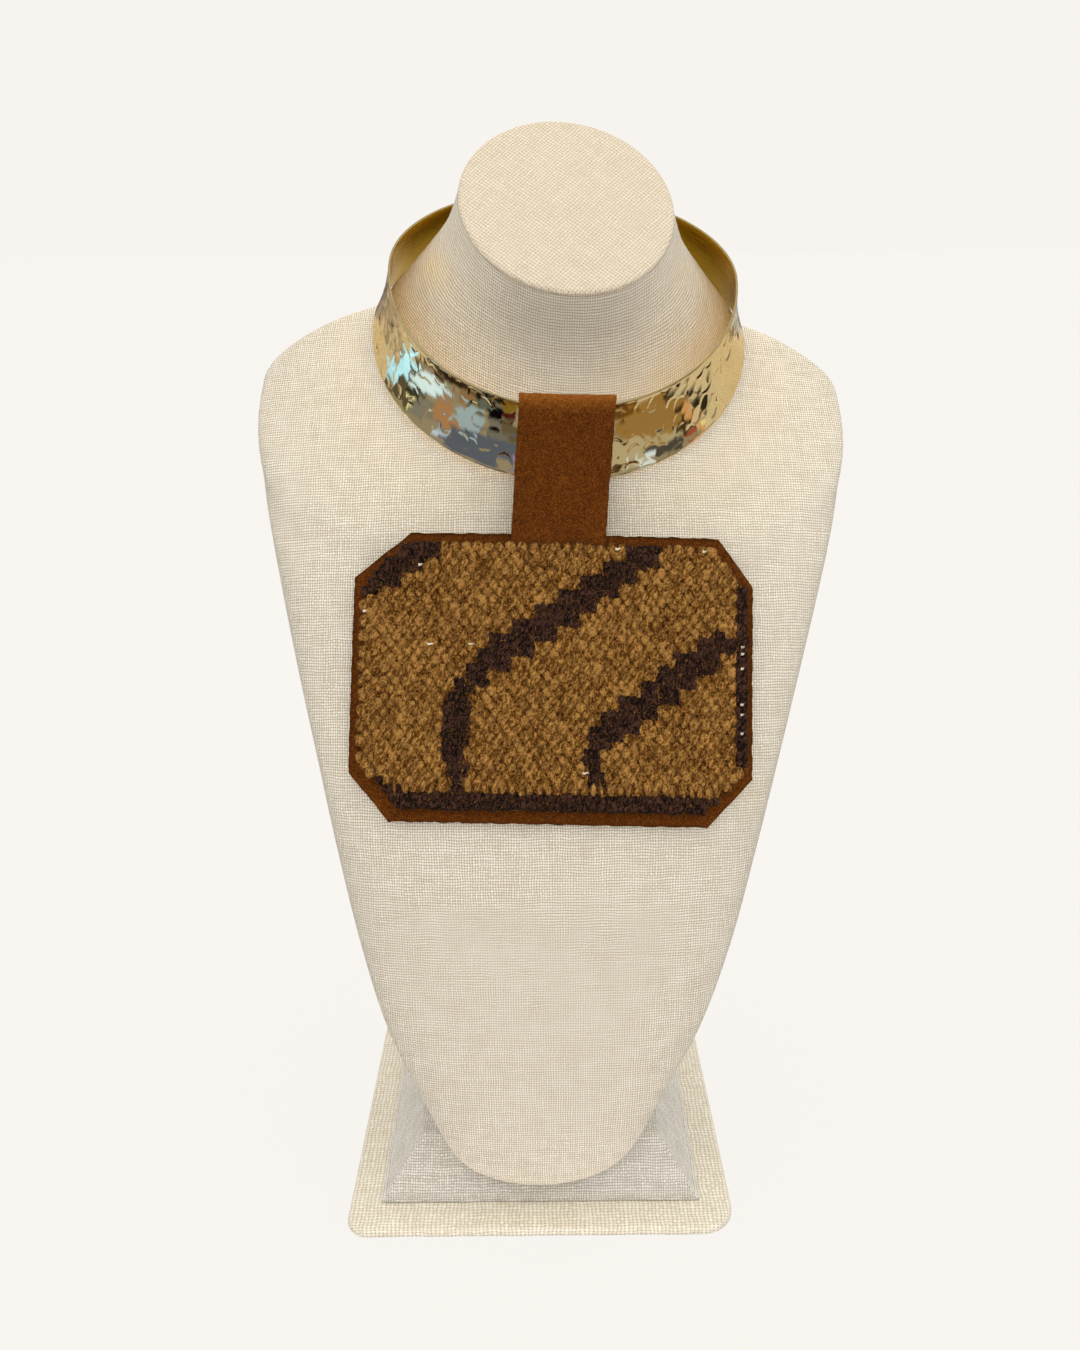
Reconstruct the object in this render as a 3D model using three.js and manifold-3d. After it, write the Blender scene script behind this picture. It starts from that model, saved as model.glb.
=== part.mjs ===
// Choker necklace on a linen neck bust.
// A flared, hammered brass collar, open at the back, sits on the slanted neck of a
// display bust. A suede strap folds over the front of the collar and carries a suede
// backing with a woven wool panel. Millimetres, +Z up, the front faces -Y.
// The origin is the bottom centre of the whole object's box.

import * as THREE from 'three';
import { mergeVertices } from 'three/addons/utils/BufferGeometryUtils.js';
import Module from 'manifold-3d';

// ---------- driving dimensions ----------

const SEAT_GAP = 0.3; // clearance between pieces that touch

const PLATE = { frontWidth: 150, backWidth: 147, depth: 150, thickness: 4, corner: 12 };

const BLOCK = {
  bottomWidth: 123, topWidth: 94.2, frontMargin: 14, bevelRun: 15.3, height: 20.3,
};

// The wedge starts as a block; the bust's form, moved forward by cutSteps, trims it.
const RISER = { width: 80, front: 34, back: 100, top: 168, clearance: 0.4, cutSteps: [15, 30] };

// The bust, from its tip up to the slanted neck top. Each row is one section, cut by
// the plane through a front point and a back point on the centre line. wide is where
// the section is widest, from 0 at the front to 1 at the back. frontPower and
// backPower make the outline an ellipse at 2 and squarer above it. shift moves the
// section sideways, and roll turns it about the front-to-back axis in degrees.
const BUST_COLUMNS = [
  'frontY', 'frontZ', 'backY', 'backZ', 'half', 'wide', 'frontPower', 'backPower', 'shift', 'roll',
];
const BUST_ROWS = [
  [14.5, 12.3, 16.5, 12.4, 5.0, 0.50, 2.0, 2.0, 0.0, 0.0],
  [12.5, 14.0, 19.5, 14.8, 17.0, 0.50, 2.0, 2.0, 0.0, 0.0],
  [11.0, 19.0, 24.5, 21.0, 29.5, 0.50, 2.0, 2.2, 0.2, 0.0],
  [10.0, 29.0, 31.5, 33.0, 38.2, 0.50, 2.3, 2.5, 0.7, 0.0],
  [9.0, 48.0, 41.0, 55.0, 47.2, 0.50, 2.8, 3.0, 1.0, 0.0],
  [8.0, 78.0, 53.0, 90.0, 60.2, 0.46, 3.0, 3.0, 2.0, 0.0],
  [8.0, 110.0, 65.0, 128.0, 69.6, 0.46, 3.1, 3.0, 3.0, 0.0],
  [9.5, 146.0, 79.0, 171.0, 77.8, 0.48, 3.2, 3.0, 3.7, 0.0],
  [14.9, 174.0, 93.0, 205.0, 84.8, 0.50, 3.2, 3.0, 4.4, 0.0],
  [27.5, 201.0, 112.0, 243.0, 94.6, 0.58, 3.2, 3.0, 5.2, 0.0],
  [41.2, 230.0, 133.0, 284.0, 105.4, 0.68, 3.1, 2.8, 6.2, 0.5],
  [48.8, 244.0, 143.0, 304.0, 111.4, 0.76, 2.8, 2.6, 6.6, 1.0],
  [55.5, 256.0, 150.0, 320.0, 113.6, 0.80, 2.6, 2.4, 7.0, 1.8],
  [61.5, 265.0, 155.0, 333.0, 96.0, 0.82, 2.4, 2.2, 8.4, 2.6],
  [67.0, 273.0, 158.5, 342.0, 73.5, 0.80, 2.2, 2.0, 10.0, 3.2],
  [71.5, 282.5, 158.0, 350.0, 67.0, 0.74, 2.0, 2.0, 11.7, 3.5],
  [83.0, 298.0, 155.0, 360.0, 63.2, 0.62, 2.0, 2.0, 11.9, 3.8],
  [91.0, 313.0, 151.8, 371.5, 55.8, 0.55, 2.0, 2.0, 12.1, 4.2],
  [95.0, 327.5, 149.6, 385.0, 46.2, 0.52, 2.0, 2.0, 12.5, 4.6],
  [95.3, 341.5, 149.0, 402.3, 40.5, 0.50, 2.0, 2.0, 13.0, 5.0],
];
const NECK_EDGE_RADIUS = 1.8; // rounding of the rim of the neck top
const NECK_EDGE_STEPS = [{ inward: 0.3, up: 0.6 }, { inward: 1, up: 1 }]; // shares of it
const BUST_RINGS_PER_ROW = 2;
const BUST_SEGMENTS = 56;

// The collar's rims are egg shaped: half ellipses in front of and behind the widest line.
const COLLAR = {
  side: 12.2, y: 111.9, z: 349.7, // middle of the widest line of the upper rim
  tilt: 37.4, roll: 3.5, // degrees, front low and one side low
  halfWidth: 63.75, frontDepth: 70.85, backDepth: 47,
  flare: 7.6, drop: 27.8, thickness: 1.2,
  backOpening: 76, endRadius: 7,
};
const COLLAR_SEGMENTS = 96;

const SUEDE = 1.4;
const STRAP = {
  width: 33.2, lean: 4.2, clearance: 0.45,
  tuck: 14, backTuck: 12, // how far each end runs down the pendant's face and back
  bend: 3, // half the length over which it turns off the pendant
  rise: 4, // height above the pendant where it hangs straight
  hemTurn: 38, // degrees it goes round the collar's lower edge
  bowFrom: 1, bowTo: 14, // heights over which it takes on the collar's bow
};
const STRAP_STEPS = 9; // along each straight or curved stretch
const STRAP_STATIONS = 8;

// The pendant lies on the chest. Its local frame: across, up the slope, out of the face.
const PENDANT = { y: 52.9, z: 263.2, side: 7.2, lean: 25, twist: 1.6, bowRadius: 850 };
const BACKING = {
  width: 140.6, height: 102.2, thickness: 1.5,
  // each corner's run across and rise
  chamfers: {
    topLeft: [19.6, 16.2], topRight: [12.5, 17],
    bottomLeft: [14.6, 16.6], bottomRight: [15.6, 16.6],
  },
};
const PANEL = {
  width: 133, height: 92, thickness: 4, topMargin: 4.6, side: 0.2,
  chamfers: {
    topLeft: [14, 16.4], topRight: [12.3, 12.8],
    bottomLeft: [15, 18], bottomRight: [14, 15.4],
  },
};
// The recess that takes the strap's end: room beside and below the strap, and how far
// the cutting block stands clear above and behind the panel.
const RECESS = { sideRoom: 1.5, endRoom: 4.6, above: 1, behind: 1 };
const PENDANT_STATIONS = 20;

const MATERIALS = {
  brass: { color: 0xc9b27a, roughness: 0.18, metalness: 1 },
  suede: { color: 0x693a10, roughness: 0.95, metalness: 0 },
  wool: { color: 0x8a6234, roughness: 0.95, metalness: 0 },
  linen: { color: 0xd6cdbe, roughness: 0.9, metalness: 0 },
  canvas: { color: 0xe0d2b8, roughness: 0.9, metalness: 0 },
};

const wasm = await Module();
wasm.setup();

// ---------- helpers ----------

const radians = THREE.MathUtils.degToRad;

function rowsToObjects(columns, rows) {
  return rows.map((row) => Object.fromEntries(columns.map((name, i) => [name, row[i]])));
}

function sheetMaterial(name) {
  return new THREE.MeshStandardMaterial({ name, ...MATERIALS[name] });
}

// A closed skin over rings of equal length. Each ring runs the same way round, and
// both ends are closed by a fan round the ring's middle.
function skin(rings) {
  const count = rings[0].length;
  const points = rings.flat();
  const faces = [];
  for (let r = 0; r + 1 < rings.length; r += 1) {
    for (let i = 0; i < count; i += 1) {
      const next = (i + 1) % count;
      const a = r * count + i;
      const b = r * count + next;
      faces.push(a, b, b + count, a, b + count, a + count);
    }
  }
  const capEnd = (start, flip) => {
    const ring = points.slice(start, start + count);
    const middle = new THREE.Vector3();
    ring.forEach((p) => middle.add(p));
    points.push(middle.divideScalar(count));
    const hub = points.length - 1;
    for (let i = 0; i < count; i += 1) {
      const a = start + i;
      const b = start + ((i + 1) % count);
      faces.push(...(flip ? [hub, b, a] : [hub, a, b]));
    }
  };
  capEnd(0, true);
  capEnd((rings.length - 1) * count, false);
  const geometry = new THREE.BufferGeometry().setFromPoints(points);
  geometry.setIndex(faces);
  return facingOut(geometry);
}

// A skin whose ends are flat quads, for slabs and bands with four-cornered sections.
function quadSkin(rings) {
  const points = rings.flat();
  const faces = [];
  for (let r = 0; r + 1 < rings.length; r += 1) {
    for (let i = 0; i < 4; i += 1) {
      const a = r * 4 + i;
      const b = r * 4 + ((i + 1) % 4);
      faces.push(a, b, b + 4, a, b + 4, a + 4);
    }
  }
  const last = (rings.length - 1) * 4;
  faces.push(0, 2, 1, 0, 3, 2, last, last + 1, last + 2, last, last + 2, last + 3);
  const geometry = new THREE.BufferGeometry().setFromPoints(points);
  geometry.setIndex(faces);
  return facingOut(geometry);
}

function signedVolume(geometry) {
  const position = geometry.attributes.position;
  const index = geometry.index.array;
  const [a, b, c] = [new THREE.Vector3(), new THREE.Vector3(), new THREE.Vector3()];
  let volume = 0;
  for (let i = 0; i < index.length; i += 3) {
    a.fromBufferAttribute(position, index[i]);
    b.fromBufferAttribute(position, index[i + 1]);
    c.fromBufferAttribute(position, index[i + 2]);
    volume += a.dot(b.cross(c)) / 6;
  }
  return volume;
}

function facingOut(geometry) {
  if (signedVolume(geometry) < 0) {
    const index = geometry.index.array;
    for (let i = 0; i < index.length; i += 3) {
      [index[i + 1], index[i + 2]] = [index[i + 2], index[i + 1]];
    }
  }
  return geometry;
}

function toSolid(geometry) {
  const bare = geometry.clone();
  bare.deleteAttribute('normal');
  bare.deleteAttribute('uv');
  const merged = mergeVertices(bare, 1e-4);
  return new wasm.Manifold(new wasm.Mesh({
    numProp: 3,
    vertProperties: new Float32Array(merged.attributes.position.array),
    triVerts: new Uint32Array(merged.index.array),
  }));
}

function fromSolid(solid) {
  const mesh = solid.getMesh();
  const geometry = new THREE.BufferGeometry();
  const positions = new Float32Array(mesh.vertProperties);
  geometry.setAttribute('position', new THREE.BufferAttribute(positions, 3));
  geometry.setIndex(new THREE.BufferAttribute(new Uint32Array(mesh.triVerts), 1));
  return geometry;
}

function piece(name, geometry, material) {
  const shown = geometry.index ? geometry : mergeVertices(geometry);
  shown.computeVertexNormals();
  const mesh = new THREE.Mesh(shown, sheetMaterial(material));
  mesh.name = name;
  return mesh;
}

// ---------- stand ----------

function roundedPlate() {
  const { frontWidth, backWidth, depth, thickness, corner } = PLATE;
  const corners = [
    [-frontWidth / 2, 0], [frontWidth / 2, 0], [backWidth / 2, depth], [-backWidth / 2, depth],
  ].map(([x, y]) => new THREE.Vector2(x, y));
  const outline = new THREE.Shape();
  corners.forEach((point, i) => {
    const before = corners[(i + 3) % 4].clone().sub(point).setLength(corner).add(point);
    const after = corners[(i + 1) % 4].clone().sub(point).setLength(corner).add(point);
    if (i === 0) outline.moveTo(before.x, before.y);
    else outline.lineTo(before.x, before.y);
    outline.quadraticCurveTo(point.x, point.y, after.x, after.y);
  });
  outline.closePath();
  const options = { depth: thickness, bevelEnabled: false, curveSegments: 8 };
  return new THREE.ExtrudeGeometry(outline, options);
}

function frustumBlock() {
  const { bottomWidth, topWidth, frontMargin, bevelRun, height } = BLOCK;
  const level = (width, front, z) => {
    const back = PLATE.depth - front;
    return [[-width / 2, front], [width / 2, front], [width / 2, back], [-width / 2, back]]
      .map(([x, y]) => new THREE.Vector3(x, y, z));
  };
  const foot = PLATE.thickness + SEAT_GAP;
  return quadSkin([
    level(bottomWidth, frontMargin, foot),
    level(topWidth, frontMargin + bevelRun, foot + height),
  ]);
}

// A wedge between the block and the bust's sloping back, cut to the bust's own form.
function riserWedge(bust) {
  const foot = PLATE.thickness + 2 * SEAT_GAP + BLOCK.height;
  const box = new THREE.BoxGeometry(RISER.width, RISER.back - RISER.front, RISER.top - foot);
  box.translate(0, (RISER.front + RISER.back) / 2, (foot + RISER.top) / 2);
  const grown = bust.clone().translate(0, RISER.clearance, -SEAT_GAP);
  const cutters = [grown, ...RISER.cutSteps.map((step) => bust.clone().translate(0, -step, 0))];
  const wedge = cutters.reduce((solid, cutter) => solid.subtract(toSolid(cutter)), toSolid(box));
  return fromSolid(wedge);
}

// ---------- bust ----------

// One section's outline: its plane holds the front and back points.
function bustRing(row) {
  const front = new THREE.Vector3(0, row.frontY, row.frontZ);
  const back = new THREE.Vector3(0, row.backY, row.backZ);
  const along = back.clone().sub(front);
  const length = along.length();
  along.normalize();
  const middle = front.clone().addScaledVector(along, row.wide * length);
  const turn = radians(row.roll);
  const ring = [];
  for (let i = 0; i < BUST_SEGMENTS; i += 1) {
    const angle = (i / BUST_SEGMENTS) * 2 * Math.PI;
    const side = Math.cos(angle);
    const lengthways = Math.sin(angle);
    const power = lengthways < 0 ? row.frontPower : row.backPower;
    const reach = lengthways < 0 ? row.wide * length : (1 - row.wide) * length;
    const x = row.half * Math.sign(side) * Math.abs(side) ** (2 / power);
    const s = reach * Math.sign(lengthways) * Math.abs(lengthways) ** (2 / power);
    const point = middle.clone().addScaledVector(along, s);
    point.z -= x * Math.sin(turn);
    point.x = x * Math.cos(turn) + row.shift;
    ring.push(point);
  }
  return ring;
}

// Rows between the named ones, on a smooth curve through each column.
function smoothRows(rows) {
  const dense = [];
  for (let i = 0; i + 1 < rows.length; i += 1) {
    const before = rows[Math.max(i - 1, 0)];
    const from = rows[i];
    const to = rows[i + 1];
    const after = rows[Math.min(i + 2, rows.length - 1)];
    for (let k = 0; k < BUST_RINGS_PER_ROW; k += 1) {
      const t = k / BUST_RINGS_PER_ROW;
      dense.push(Object.fromEntries(BUST_COLUMNS.map((name) => {
        const slopeIn = (to[name] - before[name]) / 2;
        const slopeOut = (after[name] - from[name]) / 2;
        const value = (2 * t ** 3 - 3 * t ** 2 + 1) * from[name]
          + (t ** 3 - 2 * t ** 2 + t) * slopeIn
          + (-2 * t ** 3 + 3 * t ** 2) * to[name]
          + (t ** 3 - t ** 2) * slopeOut;
        return [name, value];
      })));
    }
  }
  dense.push(rows[rows.length - 1]);
  return dense;
}

function neckBust() {
  const rows = smoothRows(rowsToObjects(BUST_COLUMNS, BUST_ROWS));
  const top = rows[rows.length - 1];
  const edge = NECK_EDGE_RADIUS;
  const tilt = Math.atan2(top.backZ - top.frontZ, top.backY - top.frontY);
  const rounded = NECK_EDGE_STEPS.map(({ inward, up }) => {
    const inset = inward * edge;
    const rise = up * edge;
    const lift = [-Math.sin(tilt) * rise, Math.cos(tilt) * rise];
    return {
      ...top,
      frontY: top.frontY + inset * Math.cos(tilt) + lift[0],
      frontZ: top.frontZ + inset * Math.sin(tilt) + lift[1],
      backY: top.backY - inset * Math.cos(tilt) + lift[0],
      backZ: top.backZ - inset * Math.sin(tilt) + lift[1],
      half: top.half - inset,
    };
  });
  return skin([...rows, ...rounded].map(bustRing));
}

// ---------- collar ----------

// A point of the collar: angle 0 is the wearer's left side, a quarter turn is the back.
// out is how far outside the upper rim's outline, down how far below its plane.
function collarPoint(angle, out, down) {
  const depth = Math.sin(angle) < 0 ? COLLAR.frontDepth : COLLAR.backDepth;
  const x = (COLLAR.halfWidth + out) * Math.cos(angle);
  const s = (depth + out) * Math.sin(angle);
  const tilt = radians(COLLAR.tilt);
  const roll = radians(COLLAR.roll);
  const y = s * Math.cos(tilt) + down * Math.sin(tilt);
  const z = s * Math.sin(tilt) - down * Math.cos(tilt);
  return new THREE.Vector3(
    x * Math.cos(roll) + z * Math.sin(roll) + COLLAR.side,
    y + COLLAR.y,
    z * Math.cos(roll) - x * Math.sin(roll) + COLLAR.z,
  );
}

function hammeredBand() {
  const halfOpening = Math.acos(COLLAR.backOpening / 2 / COLLAR.halfWidth);
  const start = Math.PI - halfOpening;
  const sweep = 2 * Math.PI - 2 * (Math.PI / 2 - halfOpening);
  const endAngle = COLLAR.endRadius / (COLLAR.backDepth + COLLAR.flare);
  const rings = [];
  for (let i = 0; i <= COLLAR_SEGMENTS; i += 1) {
    const angle = start + (i / COLLAR_SEGMENTS) * sweep;
    const toEnd = Math.min(angle - start, start + sweep - angle);
    const round = toEnd < endAngle ? 1 - Math.sqrt(1 - (1 - toEnd / endAngle) ** 2) : 0;
    const trim = (round * COLLAR.endRadius) / COLLAR.drop;
    const [low, high] = [1 - trim, trim];
    const wall = (share, inward) => (
      collarPoint(angle, COLLAR.flare * share - inward, COLLAR.drop * share));
    rings.push([
      wall(high, 0), wall(low, 0), wall(low, COLLAR.thickness), wall(high, COLLAR.thickness),
    ]);
  }
  return quadSkin(rings);
}

// ---------- pendant ----------

// Frame on the chest: across, up the slope, out of the face, bowed round the chest.
function pendantPoint(across, up, out) {
  const twist = radians(PENDANT.twist);
  const lean = radians(PENDANT.lean);
  const turned = across / PENDANT.bowRadius;
  const radius = PENDANT.bowRadius + out;
  const flatX = radius * Math.sin(turned);
  const depth = PENDANT.bowRadius - radius * Math.cos(turned);
  const x = flatX * Math.cos(twist) + up * Math.sin(twist);
  const slope = up * Math.cos(twist) - flatX * Math.sin(twist);
  return new THREE.Vector3(
    x + PENDANT.side,
    PENDANT.y + depth * Math.cos(lean) + slope * Math.sin(lean),
    PENDANT.z - depth * Math.sin(lean) + slope * Math.cos(lean),
  );
}

// How far a chamfered outline reaches up and down at one distance across.
function chamferedReach(outline, across) {
  const { width, height, chamfers } = outline;
  const inset = ([run, rise], fromSide) => (fromSide < run ? rise * (1 - fromSide / run) : 0);
  const fromLeft = width / 2 + across;
  const fromRight = width / 2 - across;
  const cut = (left, right) => Math.max(inset(left, fromLeft), inset(right, fromRight));
  return {
    top: -cut(chamfers.topLeft, chamfers.topRight),
    bottom: -height + cut(chamfers.bottomLeft, chamfers.bottomRight),
  };
}

// A slab with a chamfered outline that follows the chest's bow.
function chamferedSlab(outline, topMargin, side, backOut, frontOut) {
  const half = outline.width / 2;
  const { topLeft, topRight, bottomLeft, bottomRight } = outline.chamfers;
  const stations = new Set([
    -half + topLeft[0], -half + bottomLeft[0], half - topRight[0], half - bottomRight[0],
  ]);
  for (let i = 0; i <= PENDANT_STATIONS; i += 1) {
    stations.add(-half + (i / PENDANT_STATIONS) * outline.width);
  }
  const rings = [...stations].sort((a, b) => a - b).map((across) => {
    const { top, bottom } = chamferedReach(outline, across);
    return [[top, backOut], [bottom, backOut], [bottom, frontOut], [top, frontOut]]
      .map(([up, out]) => pendantPoint(across + side, up - topMargin, out));
  });
  return quadSkin(rings);
}

const suedeBacking = () => chamferedSlab(BACKING, 0, 0, -BACKING.thickness, 0);

// The panel has a shallow recess behind its top edge for the strap's end.
function wovenPanel() {
  const face = SEAT_GAP + PANEL.thickness;
  const slab = chamferedSlab(PANEL, PANEL.topMargin, PANEL.side, SEAT_GAP, face);
  const middle = strapMiddle(PENDANT.z - STRAP.tuck) - PENDANT.side;
  const half = STRAP.width / 2 + RECESS.sideRoom;
  const { above, behind } = RECESS;
  const depth = STRAP.clearance + SUEDE + 2 * SEAT_GAP;
  const end = -STRAP.tuck - RECESS.endRoom;
  const rings = [middle - half, middle + half].map((across) => (
    [[above, -behind], [end, -behind], [end, depth], [above, depth]]
      .map(([up, out]) => pendantPoint(across, up, out))));
  return fromSolid(toSolid(slab).subtract(toSolid(quadSkin(rings))));
}

// ---------- strap ----------

// The strap hangs a little askew: how far sideways its middle is at one height.
function strapMiddle(z) {
  const rimFront = COLLAR.z - COLLAR.frontDepth * Math.sin(radians(COLLAR.tilt));
  return COLLAR.side - (rimFront - z) * Math.tan(radians(STRAP.lean));
}

// The strap's middle line in the Y-Z plane: up the backing's face, up to the rim, over
// the collar, down inside it, round its hem and behind the backing.
function strapRoute() {
  const half = SUEDE / 2;
  const fold = COLLAR.thickness / 2 + STRAP.clearance + half;
  const onFace = (up, out) => {
    const p = pendantPoint(0, up, out);
    return [p.y, p.z];
  };
  const inFront = STRAP.clearance + half;
  const behind = -BACKING.thickness - inFront;
  const rim = collarPoint(-Math.PI / 2, -COLLAR.thickness / 2, 0);
  const hem = collarPoint(-Math.PI / 2, COLLAR.flare - COLLAR.thickness / 2, COLLAR.drop);
  const wallAngle = Math.atan2(hem.y - rim.y, rim.z - hem.z);
  const route = new THREE.Path();
  route.moveTo(...onFace(-STRAP.tuck, inFront));
  route.lineTo(...onFace(-STRAP.bend, inFront));
  route.quadraticCurveTo(
    ...onFace(0, inFront),
    PENDANT.y - half - SEAT_GAP,
    PENDANT.z + STRAP.rise,
  );
  route.lineTo(rim.y - fold, rim.z);
  route.absarc(rim.y, rim.z, fold, Math.PI, wallAngle, true);
  route.lineTo(hem.y + fold * Math.cos(wallAngle), hem.z + fold * Math.sin(wallAngle));
  route.absarc(hem.y, hem.z, fold, wallAngle, -radians(STRAP.hemTurn), true);
  route.quadraticCurveTo(...onFace(STRAP.rise, behind - half), ...onFace(-STRAP.bend, behind));
  route.lineTo(...onFace(-STRAP.backTuck, behind));
  const stretches = route.curves.map((curve) => curve.getPoints(STRAP_STEPS).slice(0, -1));
  return [...stretches.flat(), route.currentPoint.clone()];
}

function foldedStrap() {
  const line = strapRoute();
  const normals = line.map((_, i) => {
    const ahead = line[Math.min(i + 1, line.length - 1)];
    const behind = line[Math.max(i - 1, 0)];
    const tangent = ahead.clone().sub(behind).normalize();
    return new THREE.Vector2(-tangent.y, tangent.x);
  });
  const left = line.map((p, i) => p.clone().addScaledVector(normals[i], SUEDE / 2));
  const right = line.map((p, i) => p.clone().addScaledVector(normals[i], -SUEDE / 2));
  const outline = [...left, ...right.reverse()];
  const tilt = radians(COLLAR.tilt);
  const roll = radians(COLLAR.roll);
  const rings = Array.from({ length: STRAP_STATIONS + 1 }, (_, i) => {
    const across = (i / STRAP_STATIONS - 0.5) * STRAP.width;
    return outline.map((p) => {
      const x = strapMiddle(p.y) + across;
      const side = x - COLLAR.side - (p.y - COLLAR.z) * Math.sin(roll);
      const bow = COLLAR.frontDepth * (1 - Math.sqrt(1 - (side / COLLAR.halfWidth) ** 2));
      const height = p.y - PENDANT.z;
      const onCollar = THREE.MathUtils.smoothstep(height, STRAP.bowFrom, STRAP.bowTo);
      return new THREE.Vector3(
        x,
        p.x + onCollar * bow * Math.cos(tilt),
        p.y + onCollar * (bow * Math.sin(tilt) - side * Math.sin(roll)),
      );
    });
  });
  return facingOut(outlineSkin(rings));
}

// A skin whose ends are triangulated outlines, for a profile that isn't convex.
function outlineSkin(rings) {
  const count = rings[0].length;
  const points = rings.flat();
  const faces = [];
  for (let r = 0; r + 1 < rings.length; r += 1) {
    for (let i = 0; i < count; i += 1) {
      const a = r * count + i;
      const b = r * count + ((i + 1) % count);
      faces.push(a, b, b + count, a, b + count, a + count);
    }
  }
  const flat = rings[0].map((p) => new THREE.Vector2(p.y, p.z));
  const cap = THREE.ShapeUtils.triangulateShape(flat, []);
  const last = (rings.length - 1) * count;
  const sameWay = THREE.ShapeUtils.area(flat) > 0;
  cap.forEach(([a, b, c]) => {
    const [p, q] = sameWay ? [b, c] : [c, b];
    faces.push(a, q, p, last + a, last + p, last + q);
  });
  const geometry = new THREE.BufferGeometry().setFromPoints(points);
  geometry.setIndex(faces);
  return geometry;
}

// ---------- assembly ----------

const object = new THREE.Group();

const bustForm = neckBust();

const stand = new THREE.Group();
stand.add(
  piece('base_plate', roundedPlate(), 'canvas'),
  piece('pedestal_block', frustumBlock(), 'linen'),
  piece('pedestal_riser', riserWedge(bustForm), 'linen'),
  piece('neck_form', bustForm, 'linen'),
);

const necklace = new THREE.Group();
necklace.add(
  piece('collar', hammeredBand(), 'brass'),
  piece('strap', foldedStrap(), 'suede'),
  piece('backing', suedeBacking(), 'suede'),
  piece('woven_panel', wovenPanel(), 'wool'),
);

object.add(stand, necklace);

// The origin is the bottom centre of the box round everything.
const middle = new THREE.Box3().setFromObject(object).getCenter(new THREE.Vector3());
object.position.set(-middle.x, -middle.y, 0);

export default object;
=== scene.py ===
"""Looks of the choker necklace on its linen neck bust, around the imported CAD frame."""
import math
import random
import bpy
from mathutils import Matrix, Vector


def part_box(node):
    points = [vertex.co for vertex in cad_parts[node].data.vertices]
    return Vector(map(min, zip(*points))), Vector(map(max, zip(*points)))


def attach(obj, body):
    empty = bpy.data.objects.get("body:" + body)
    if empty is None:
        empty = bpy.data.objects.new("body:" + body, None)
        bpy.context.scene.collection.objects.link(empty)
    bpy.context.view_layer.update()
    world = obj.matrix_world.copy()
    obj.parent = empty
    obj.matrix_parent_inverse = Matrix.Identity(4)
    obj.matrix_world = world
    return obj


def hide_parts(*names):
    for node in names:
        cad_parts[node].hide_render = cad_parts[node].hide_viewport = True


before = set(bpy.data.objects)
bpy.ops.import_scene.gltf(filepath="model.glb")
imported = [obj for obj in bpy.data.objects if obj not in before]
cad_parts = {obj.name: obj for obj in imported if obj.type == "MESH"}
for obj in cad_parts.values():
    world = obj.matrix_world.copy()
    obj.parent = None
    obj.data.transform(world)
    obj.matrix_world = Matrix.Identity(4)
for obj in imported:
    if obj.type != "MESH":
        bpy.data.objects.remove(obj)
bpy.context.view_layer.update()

from types import SimpleNamespace as Sizes

import bpy
import numpy as np
from mathutils import Matrix, Vector

# ---------- frame ----------
# Shapes are worked out in stand millimetres: x from the plate's middle, y back from the
# plate's front edge, z up from the floor.

PLATE_LOW, PLATE_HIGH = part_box("base_plate")
ORIGIN = np.array([(PLATE_LOW[0] + PLATE_HIGH[0]) / 2, PLATE_LOW[1], 0.0])
METRES = 0.001


def placed(points):
    return np.asarray(points, float) * METRES + ORIGIN


def smoothstep(x, low, high):
    t = np.clip((x - low) / (high - low), 0, 1)
    return t * t * (3 - 2 * t)


def turned(a, b, angle):
    """How far (a, b) reaches along an axis at angle, and square to it."""
    cos, sin = math.cos(angle), math.sin(angle)
    return a * cos + b * sin, b * cos - a * sin


def running_length(line):
    """Length along a line of points, from 0 at its first."""
    return np.concatenate([[0], np.cumsum(np.linalg.norm(np.diff(line, axis=0), axis=1))])


# ---------- mesh helpers ----------

def make_mesh(name, points, *faces):
    """faces are (n, k) index arrays, one for each number of corners k."""
    points = np.asarray(points, np.float32)
    faces = [np.asarray(f, np.int32) for f in faces]
    corners = np.concatenate([f.ravel() for f in faces])
    sizes = np.concatenate([np.full(len(f), f.shape[1], np.int32) for f in faces])
    mesh = bpy.data.meshes.new(name)
    mesh.vertices.add(len(points))
    mesh.vertices.foreach_set("co", points.ravel())
    mesh.loops.add(len(corners))
    mesh.loops.foreach_set("vertex_index", corners)
    mesh.polygons.add(len(sizes))
    mesh.polygons.foreach_set("loop_start", (np.cumsum(sizes) - sizes).astype(np.int32))
    mesh.update(calc_edges=True)
    mesh.validate()
    mesh.shade_smooth()
    return mesh


def grid_quads(rows, columns, closed=True):
    """Quads over a rows by columns grid of points. closed joins its last column to the first."""
    r = np.arange(rows - 1)[:, None] * columns
    c = np.arange(columns if closed else columns - 1)[None, :]
    d = (c + 1) % columns
    return np.stack([r + c, r + d, r + columns + d, r + columns + c], -1).reshape(-1, 4)


def end_fans(count, sides):
    """Triangles that close count rings: two points follow the rings, one for each end."""
    k = np.arange(sides)
    following = (k + 1) % sides
    last = (count - 1) * sides
    hub = count * sides
    return np.concatenate([
        np.stack([np.full(sides, hub), following, k], -1),
        np.stack([np.full(sides, hub + 1), last + k, last + following], -1)])


def closed_tube(name, rings, first_hub, last_hub):
    """A mesh through rings of points and over both ends, and its points."""
    count, sides = rings.shape[:2]
    points = np.vstack([rings.reshape(-1, 3), first_hub, last_hub])
    mesh = make_mesh(name, placed(points), grid_quads(count, sides), end_fans(count, sides))
    return mesh, points


def copies(faces, number, size):
    """The faces of one part, repeated for number parts of size points each."""
    return (faces + (np.arange(number) * size)[:, None, None]).reshape(-1, faces.shape[1])


def add_object(name, data):
    made = bpy.data.objects.new(name, data)
    bpy.context.scene.collection.objects.link(made)
    return made


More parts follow.
